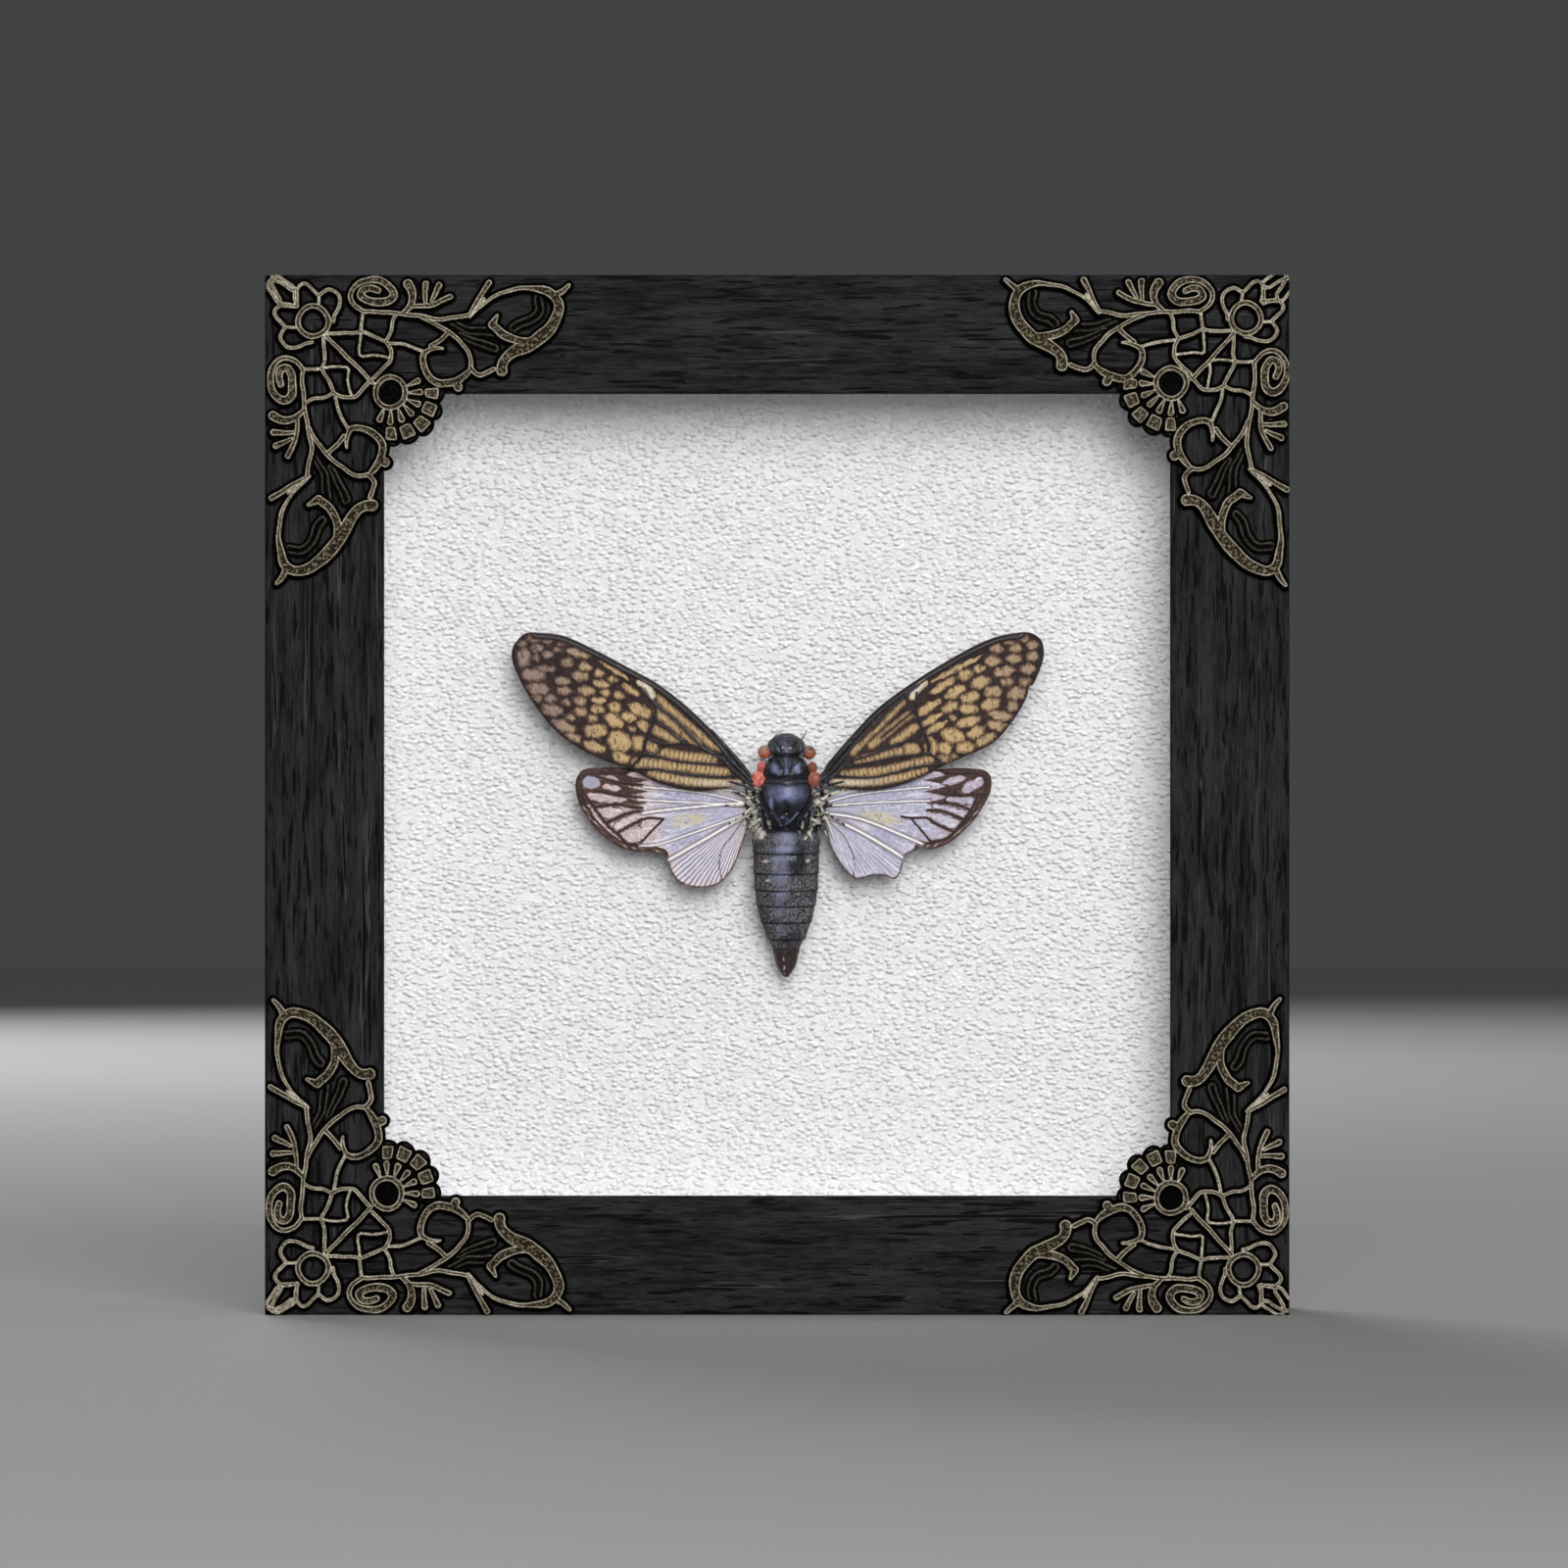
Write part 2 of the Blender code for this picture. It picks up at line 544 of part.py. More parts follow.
# Legs folded flat under the body and the beak between them, for the right-hand side
LEG_RADIUS = 0.45
LEGS = [
    [(1.6, 3.0, 3.4), (2.7, 4.15, 4.4), (1.3, 4.2, 6.4)],
    [(1.8, 3.2, -0.4), (3.4, 4.15, -2.4), (2.2, 4.2, -5.2)],
    [(1.6, 3.2, -4.4), (3.6, 4.15, -6.8), (2.4, 4.2, -10.4)],
]
BEAK = [(0.0, 3.2, 3.9), (0.0, 4.1, 2.9), (0.0, 4.15, -1.6)]


def specimen_point(x, y, z):
    """From millimetres at the specimen's origin to metres in the frame."""
    return (SPECIMEN_X + x * MM, y * MM, SPECIMEN_Z + z * MM)


def abdomen_sections():
    """The abdomen with a small step at the end of each segment."""
    depth = [-row[0] for row in ABDOMEN]
    sections = [ABDOMEN[0]]
    for end in SEGMENT_ENDS:
        for z, grow in ((end + SEGMENT_STEP, 0.08), (end - SEGMENT_STEP, -0.12)):
            half, back, belly = (np.interp(-z, depth, [row[k] for row in ABDOMEN])
                                 for k in (1, 2, 3))
            sections.append((z, half + grow, back - grow, belly))
    return sections + [ABDOMEN[-1]]


def body_ring(z, half, back, belly):
    """One section: rounder at the back than at the belly."""
    middle = (back + belly) / 2
    reach = (belly - back) / 2
    ring = []
    for k in range(BODY_SIDES):
        angle = 2 * math.pi * k / BODY_SIDES
        x = half * math.copysign(abs(math.cos(angle)) ** 0.9, math.cos(angle))
        y = middle - reach * math.sin(angle)
        ring.append(specimen_point(x, y, z))
    return ring


def lump(centre, sizes, side):
    """A ball stretched to its three half sizes."""
    rings = []
    for row in range(1, LUMP_ROWS):
        tilt = math.pi * row / LUMP_ROWS
        ring = []
        for k in range(LUMP_SIDES):
            turn = 2 * math.pi * k / LUMP_SIDES
            x = side * (centre[0] + sizes[0] * math.sin(tilt) * math.cos(turn))
            y = centre[1] + sizes[1] * math.sin(tilt) * math.sin(turn)
            ring.append(specimen_point(x, y, centre[2] + sizes[2] * math.cos(tilt)))
        rings.append(ring)
    return skin_of_rings(rings)


def limb(points, side):
    """A thin rod along the points, with cut ends."""
    path = [Vector((side * x, y, z)) for x, y, z in points]
    rings = []
    for k, spot in enumerate(path):
        run = path[min(k + 1, len(path) - 1)] - path[max(k - 1, 0)]
        across = run.cross(Vector((0, 1, 0))).normalized()
        up = run.cross(across).normalized()
        ring = []
        for n in range(LIMB_SIDES):
            turn = 2 * math.pi * n / LIMB_SIDES
            point = spot + LEG_RADIUS * (math.cos(turn) * across + math.sin(turn) * up)
            ring.append(specimen_point(*point))
        rings.append(ring)
    return skin_of_rings(rings)


def add_body(material):
    sections = HEAD_AND_THORAX + abdomen_sections() + TAIL_SHEATH
    rings = [body_ring(*section) for section in sections]
    body = add_object("cicada_body", *skin_of_rings(rings), material, smooth_angle=50)
    parts = [lump(*shape, side) for shape in (EYE, FORE_LOBE, REAR_LOBE, WING_HINGE)
             for side in (-1, 1)]
    parts += [limb(leg, side) for leg in LEGS for side in (-1, 1)]
    parts.append(limb(BEAK, 1))
    verts = []
    faces = []
    for part_verts, part_faces in parts:
        first = len(verts)
        verts += part_verts
        faces += [tuple(first + k for k in face) for face in part_faces]
    features = add_object("body_features", verts, faces, material)
    features.hide_render = True
    features.display_type = "WIRE"
    union = body.modifiers.new("features", "BOOLEAN")
    union.operation = "UNION"
    union.object = features


# The wings. Outlines and main veins in millimetres from the specimen's origin, x outwards.
# The two sides differ a little, and the right hind wing is torn at its hem.

FORE_LEFT = [
    (6.5, 2.4), (7.8, 4.2), (11.7, 8.3), (16.6, 13.0), (21.4, 16.7), (26.6, 19.6), (32.5, 22.7),
    (37.3, 24.8), (41.6, 25.3), (43.6, 25.1), (45.2, 23.6), (45.8, 22.1), (45.7, 20.5),
    (45.0, 18.6), (43.4, 15.4), (41.1, 12.0), (38.2, 8.6), (34.3, 5.8), (29.7, 3.7), (25.8, 2.4),
    (21.4, 0.3), (16.6, -0.9), (13.8, -1.1), (9.5, -0.6), (6.6, 0.1),
]
FORE_RIGHT = [
    (6.5, 2.2), (7.0, 3.6), (12.7, 10.1), (16.4, 13.6), (21.9, 17.5), (26.1, 20.1), (30.5, 22.6),
    (35.1, 24.6), (38.9, 25.3), (40.9, 25.2), (42.5, 24.1), (43.0, 22.5), (42.8, 20.4),
    (41.4, 16.9), (40.5, 16.2), (40.1, 14.4), (38.3, 11.2), (35.1, 7.3), (31.7, 5.4), (27.1, 3.4),
    (22.4, 1.1), (18.5, -0.3), (14.5, -1.0), (10.0, -0.8), (6.6, 0.1),
]
HIND_LEFT = [
    (6.5, -2.0), (12.0, -0.4), (20.0, 1.5), (27.0, 2.7), (33.1, 2.6), (34.7, 1.5), (35.2, -0.2),
    (34.7, -2.9), (33.4, -5.5), (31.2, -8.1), (28.5, -10.2), (25.8, -11.2), (22.9, -11.4),
    (20.8, -11.9), (19.8, -12.7), (19.3, -14.5), (18.2, -16.1), (16.2, -17.1), (13.9, -17.3),
    (11.5, -16.8), (9.9, -15.4), (8.6, -13.5), (7.6, -10.9), (6.7, -8.1), (6.5, -5.8),
]
HIND_RIGHT = [
    (6.5, -2.0), (12.0, -0.4), (20.0, 1.5), (27.0, 2.6), (32.2, 2.5), (33.8, 1.8), (34.3, 0.6),
    (34.1, -1.3), (33.1, -3.4), (31.7, -5.7), (29.7, -7.8), (27.9, -9.4), (26.0, -10.4),
    (24.2, -10.9), (22.6, -10.6), (19.8, -12.0), (19.5, -13.3), (18.8, -15.3), (17.9, -15.9),
    (16.7, -15.4), (14.5, -15.3), (12.0, -15.9), (10.7, -15.3), (8.9, -13.2), (7.3, -10.2),
    (6.5, -5.9),
]
FORE_VEINS = [
    [(7.4, 1.4), (12.8, 5.4), (18.5, 10.7), (21.8, 13.3), (24.5, 15.4), (30.0, 18.6), (37.0, 21.4)],
    [(12.8, 5.4), (17.0, 6.7), (22.0, 10.0), (28.0, 13.6), (36.0, 17.4)],
    [(21.8, 13.3), (22.0, 10.0), (23.7, 6.3), (25.2, 3.4)],
    [(7.6, 0.9), (13.8, 1.4), (20.5, 2.6), (23.7, 6.3), (30.0, 8.4), (36.5, 11.6)],
]
HIND_VEINS = [
    [(7.2, -3.2), (16.0, -2.0), (24.0, -1.2), (31.5, -0.4)],
    [(7.2, -3.2), (15.0, -4.4), (22.5, -5.6), (29.5, -7.0)],
    [(7.2, -3.6), (15.0, -7.2), (21.0, -10.6)],
    [(7.2, -3.6), (12.6, -8.4), (17.4, -13.6)],
    [(7.2, -3.6), (9.8, -8.6), (12.2, -14.2)],
]
BLADE_HALF = 0.16
VEIN_HALF = 0.3
FORE_WING_Y = -1.9
HIND_WING_Y = -0.7
WING_DROOP = 0.01


def add_wing(name, side, outline, veins, root_y, material):
    """A thin blade whose main veins stand a little proud on both faces."""
    hem = smooth_path(outline, 2, closed=True)
    points = list(hem)
    edges = [(k, (k + 1) % len(hem)) for k in range(len(hem))]
    for vein in veins:
        path = smooth_path(vein, 2)
        first = len(points)
        points += path
        edges += [(first + k, first + k + 1) for k in range(len(path) - 1)]
    spots, _, faces, sources, *_ = delaunay_2d_cdt(points, edges, [], 1, 1e-4)
    sheets = []
    for face_side in (-1, 1):
        sheet = []
        for spot, source in zip(spots, sources):
            on_hem = any(k < len(hem) for k in source)
            half = BLADE_HALF if on_hem else VEIN_HALF
            y = root_y + WING_DROOP * spot.x + face_side * half
            sheet.append(specimen_point(side * spot.x, y, spot.y))
        sheets.append(sheet)
    add_object(name, *solid_from_plate(*sheets, faces), material, smooth_angle=40)


def add_specimen():
    black_shell = finish("black_shell", (0.03, 0.031, 0.038), 0.4)
    fore_membrane = finish("fore_wing_membrane", (0.24, 0.15, 0.09), 0.35)
    hind_membrane = finish("hind_wing_membrane", (0.55, 0.48, 0.5), 0.35)
    add_body(black_shell)
    add_wing("fore_wing_left", -1, FORE_LEFT, FORE_VEINS, FORE_WING_Y, fore_membrane)
    add_wing("fore_wing_right", 1, FORE_RIGHT, FORE_VEINS, FORE_WING_Y, fore_membrane)
    add_wing("hind_wing_left", -1, HIND_LEFT, HIND_VEINS, HIND_WING_Y, hind_membrane)
    add_wing("hind_wing_right", 1, HIND_RIGHT, HIND_VEINS, HIND_WING_Y, hind_membrane)


clear_scene()
black_wood = finish("black_wood", (0.018, 0.018, 0.019), 0.5)
clear_glass = finish("clear_glass", (0.95, 0.97, 0.96), 0.02, alpha=0.15)
white_paper = finish("white_paper", (0.82, 0.82, 0.82), 0.8)
grey_board = finish("grey_board", (0.33, 0.28, 0.22), 0.85)
white_foam = finish("white_foam", (0.8, 0.8, 0.79), 0.8)
bright_steel = finish("bright_steel", (0.6, 0.6, 0.58), 0.35, metallic=1.0)
antique_brass = finish("antique_brass", (0.24, 0.2, 0.13), 0.4, metallic=1.0)
add_rails(black_wood)
add_glazing(clear_glass, grey_board, white_paper)
add_spacers(white_foam)
add_board_points(bright_steel)
add_hanger(bright_steel)
add_castings(antique_brass)
add_specimen()
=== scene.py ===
import math

import bpy
import numpy as np
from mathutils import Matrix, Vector


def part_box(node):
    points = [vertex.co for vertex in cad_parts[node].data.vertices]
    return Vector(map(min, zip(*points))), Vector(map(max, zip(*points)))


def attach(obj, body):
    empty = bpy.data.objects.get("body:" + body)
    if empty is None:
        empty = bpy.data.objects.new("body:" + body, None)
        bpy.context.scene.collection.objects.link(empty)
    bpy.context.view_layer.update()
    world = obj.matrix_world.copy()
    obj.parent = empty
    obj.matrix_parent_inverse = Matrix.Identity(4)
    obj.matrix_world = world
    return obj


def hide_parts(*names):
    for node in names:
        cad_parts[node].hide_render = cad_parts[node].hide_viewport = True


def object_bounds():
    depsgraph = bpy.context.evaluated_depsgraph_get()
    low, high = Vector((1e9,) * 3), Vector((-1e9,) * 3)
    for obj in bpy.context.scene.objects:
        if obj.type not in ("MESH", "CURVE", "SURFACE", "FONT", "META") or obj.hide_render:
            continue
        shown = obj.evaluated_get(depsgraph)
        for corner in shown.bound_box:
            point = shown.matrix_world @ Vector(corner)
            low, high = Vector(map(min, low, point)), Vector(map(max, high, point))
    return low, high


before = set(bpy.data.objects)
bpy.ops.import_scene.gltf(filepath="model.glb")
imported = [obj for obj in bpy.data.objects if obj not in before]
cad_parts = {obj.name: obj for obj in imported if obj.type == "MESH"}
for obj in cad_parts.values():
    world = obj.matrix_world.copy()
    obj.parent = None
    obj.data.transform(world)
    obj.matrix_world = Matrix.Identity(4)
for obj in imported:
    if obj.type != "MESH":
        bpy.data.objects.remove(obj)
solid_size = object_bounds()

MM = 0.001
solid_size = np.array(solid_size)


# The four rails: ash, planed and mitred, its open grain brushed out and stained nearly black.
# The pores run along each rail, so the two upright rails have a stain of their own.

def add_node(tree, kind, inputs=None, **settings):
    """A node with its settings made and its inputs wired or set."""
    node = tree.nodes.new(kind)
    for key, value in settings.items():
        setattr(node, key, value)
    for key, value in (inputs or {}).items():
        if isinstance(value, bpy.types.NodeSocket):
            tree.links.new(value, node.inputs[key])
        else:
            node.inputs[key].default_value = value
    return node


def maths(tree, operation, *values):
    inputs = dict(enumerate(values))
    return add_node(tree, "ShaderNodeMath", inputs, operation=operation).outputs[0]


def times(tree, *values):
    """The product of two values, with a third one added to it where it is given."""
    return maths(tree, "MULTIPLY_ADD" if len(values) == 3 else "MULTIPLY", *values)


def blend(tree, factor, first, second):
    """Two colours mixed by a factor."""
    inputs = {0: factor, 6: first, 7: second}
    return add_node(tree, "ShaderNodeMix", inputs, data_type="RGBA").outputs[2]


def layered(tree, color, *coats):
    """A colour under coats laid on in turn, each given as its mask and its own colour."""
    for mask, coat in coats:
        color = blend(tree, mask, color, coat)
    return color


def between(tree, value, low, high, start=0.0, end=1.0):
    """A value carried smoothly from one range to another and kept inside it."""
    inputs = {"Value": value, "From Min": low, "From Max": high, "To Min": start, "To Max": end}
    return add_node(tree, "ShaderNodeMapRange", inputs, interpolation_type="SMOOTHSTEP").outputs[0]


def noise(tree, vector, scale, detail=2.0, roughness=0.5, distortion=0.0):
    inputs = {"Vector": vector, "Scale": scale, "Detail": detail, "Roughness": roughness,
              "Distortion": distortion}
    return add_node(tree, "ShaderNodeTexNoise", inputs).outputs["Fac"]


def placed(tree, scale=(1, 1, 1), turn=(0, 0, 0)):
    """Object coordinates, stretched and turned."""
    coordinates = add_node(tree, "ShaderNodeTexCoord").outputs["Object"]
    inputs = {"Vector": coordinates, "Scale": scale, "Rotation": turn}
    return add_node(tree, "ShaderNodeMapping", inputs).outputs[0]


def bumped(tree, height, distance):
    inputs = {"Height": height, "Distance": distance, "Strength": 1.0}
    return add_node(tree, "ShaderNodeBump", inputs).outputs[0]


def attribute(tree, name):
    return add_node(tree, "ShaderNodeAttribute", attribute_name=name).outputs["Fac"]


def new_material(name):
    """A material with only its shader, its node tree and that shader's inputs."""
    material = bpy.data.materials.new(name)
    material.use_nodes = True
    tree = material.node_tree
    return material, tree, tree.nodes["Principled BSDF"]


def set_inputs(tree, shader, inputs):
    for key, value in inputs.items():
        if isinstance(value, bpy.types.NodeSocket):
            tree.links.new(value, shader.inputs[key])
        else:
            shader.inputs[key].default_value = value


def new_group(name, inputs, outputs):
    """An empty node group: its tree, its input sockets and its output node."""
    tree = bpy.data.node_groups.new(name, "ShaderNodeTree")
    for label, (kind, value) in inputs.items():
        socket = tree.interface.new_socket(label, in_out="INPUT", socket_type=kind)
        if value is not None:
            socket.default_value = value
    for label, kind in outputs.items():
        tree.interface.new_socket(label, in_out="OUTPUT", socket_type=kind)
    return tree, tree.nodes.new("NodeGroupInput").outputs, tree.nodes.new("NodeGroupOutput")


def group_node(tree, group, inputs):
    node = tree.nodes.new("ShaderNodeGroup")
    node.node_tree = group
    set_inputs(tree, node, inputs)
    return node.outputs


def dust_group():
    """Pale dust: where it lies and how much, from a slow and a fine noise."""
    tree, given, result = new_group(
        "dust", {"Vector": ("NodeSocketVector", None), "Amount": ("NodeSocketFloat", 0.1)},
        {"Mask": "NodeSocketFloat"})
    cloud = noise(tree, given["Vector"], 60.0, 3.0)
    speck = noise(tree, given["Vector"], 2600.0, 1.0)
    fine = between(tree, speck, 0.56, 0.74)
    spread = times(tree, between(tree, cloud, 0.35, 0.7), fine)
    tree.links.new(times(tree, spread, given["Amount"]), result.inputs["Mask"])
    return tree


DUST = dust_group()
WOOD_DARK = (0.0120, 0.0120, 0.0126, 1)
WOOD_LIGHT = (0.050, 0.050, 0.0525, 1)
WOOD_PORE = (0.0035, 0.0035, 0.0040, 1)
WOOD_SPLINTER = (0.14, 0.14, 0.145, 1)
DUST_COLOR = (0.30, 0.29, 0.27, 1)


def black_ash(name, stretch):
    material, tree, shader = new_material(name)
    vector = placed(tree, stretch)
    fibres = noise(tree, vector, 3400.0, 3.0, 0.6)
    bands = noise(tree, vector, 620.0, 2.0, 0.5, 0.4)
    pores = between(tree, noise(tree, vector, 1700.0, 1.5, 0.55, 0.25), 0.575, 0.66)
    crack_field = noise(tree, placed(tree, tuple(s ** 1.5 for s in stretch)), 640.0, 2.0, 0.6, 0.5)
    cracks = between(tree, crack_field, 0.665, 0.70)
    crack_lips = maths(tree, "SUBTRACT", between(tree, crack_field, 0.64, 0.665), cracks)
    figure = times(tree, fibres, 0.55, times(tree, bands, 0.45))
    dust = group_node(tree, DUST, {"Vector": placed(tree), "Amount": 0.05})["Mask"]
    color = layered(tree, WOOD_DARK, (between(tree, figure, 0.34, 0.66), WOOD_LIGHT),
                    (maths(tree, "MAXIMUM", pores, cracks), WOOD_PORE),
                    (times(tree, crack_lips, 0.6), WOOD_SPLINTER), (dust, DUST_COLOR))
    relief = times(tree, figure, 0.5, times(tree, pores, -0.6))
    relief = times(tree, cracks, -1.0, relief)
    set_inputs(tree, shader, {
        "Base Color": color,
        "Roughness": between(tree, figure, 0.3, 0.7, 0.80, 0.64),
        "Specular IOR Level": 0.13,
        "Normal": bumped(tree, relief, 0.16 * MM)})
    return material


def new_piece(name, points, faces, material, smooth=True):
    """A mesh object at the origin, with its place in its points, in metres."""
    mesh = bpy.data.meshes.new(name)
    mesh.from_pydata(np.asarray(points).tolist(), [], [list(map(int, face)) for face in faces])
    mesh.materials.append(material)
    if smooth:
        mesh.shade_smooth()
    piece = bpy.data.objects.new(name, mesh)
    bpy.context.scene.collection.objects.link(piece)
    return piece


def face_outwards(piece):
    """Turn a closed piece inside out if its faces point inwards."""
    mesh = piece.data
    mesh.calc_loop_triangles()
    count = len(mesh.loop_triangles)
    corners = np.empty(count * 3, np.int32)
    mesh.loop_triangles.foreach_get("vertices", corners)
    points = np.empty(len(mesh.vertices) * 3, np.float32)
    mesh.vertices.foreach_get("co", points)
    a, b, c = points.reshape(-1, 3)[corners.reshape(-1, 3)].astype(float).transpose(1, 0, 2)
    if (a * np.cross(b, c)).sum() < 0:
        mesh.flip_normals()


# Each rail is an L: a flat face with its arrises sanded round, and a rebate behind the lip
RAIL_LIP = 3.0 * MM
RAIL_WALL = 14.7 * MM
RAIL_ARRIS = 0.55 * MM
RAIL_MITRE = 0.01 * MM
ARRIS_STEPS = 7
SHARP_EDGE = math.radians(40)
ALONG_GRAIN = 0.09


def rail_section(face, front, back):
    """(inset from the outer edge, y) round a rail, from its outer back corner."""
    quarter = np.radians(np.linspace(0, 90, ARRIS_STEPS))
    outer = [(RAIL_ARRIS * (1 - math.cos(t)), front + RAIL_ARRIS * (1 - math.sin(t)))
             for t in quarter]
    inner = [(face - inset, y) for inset, y in reversed(outer)]
    lip = front + RAIL_LIP
    return [(0.0, back)] + outer + inner + [(face, lip), (RAIL_WALL, lip), (RAIL_WALL, back)]


def add_rail(side, along, inward, material):
    """One rail between its two mitres, in place of the plain one."""
    node = "frame_rail_" + side
    low, high = (np.array(corner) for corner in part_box(node))
    along, inward = np.array(along), np.array(inward)
    centre = (solid_size[0] + solid_size[1]) / 2
    outer_edge = centre - inward * np.abs((solid_size[1] - centre) @ inward)
    face = abs((high - low) @ inward)
    half = abs((solid_size[1] - solid_size[0]) @ along) / 2
    section = rail_section(face, low[1], high[1])
    points = []
    for end in (-1, 1):
        for inset, y in section:
            point = outer_edge + inset * inward + end * (half - inset - RAIL_MITRE) * along
            points.append((point[0], y, point[2]))
    count = len(section)
    faces = [(k, (k + 1) % count, (k + 1) % count + count, k + count) for k in range(count)]
    faces += [tuple(range(count)), tuple(range(count, 2 * count))[::-1]]
    rail = new_piece("ash_rail_" + side, points, faces, material)
    rail.data.set_sharp_from_angle(angle=SHARP_EDGE)
    face_outwards(rail)
    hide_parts(node)
    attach(rail, "root")


level_ash = black_ash("black ash along the level rails", (ALONG_GRAIN, 1, 1))
upright_ash = black_ash("black ash along the upright rails", (1, 1, ALONG_GRAIN))
add_rail("top", (1, 0, 0), (0, 0, -1), level_ash)
add_rail("bottom", (1, 0, 0), (0, 0, 1), level_ash)
add_rail("left", (0, 0, 1), (1, 0, 0), upright_ash)
add_rail("right", (0, 0, 1), (-1, 0, 0), upright_ash)
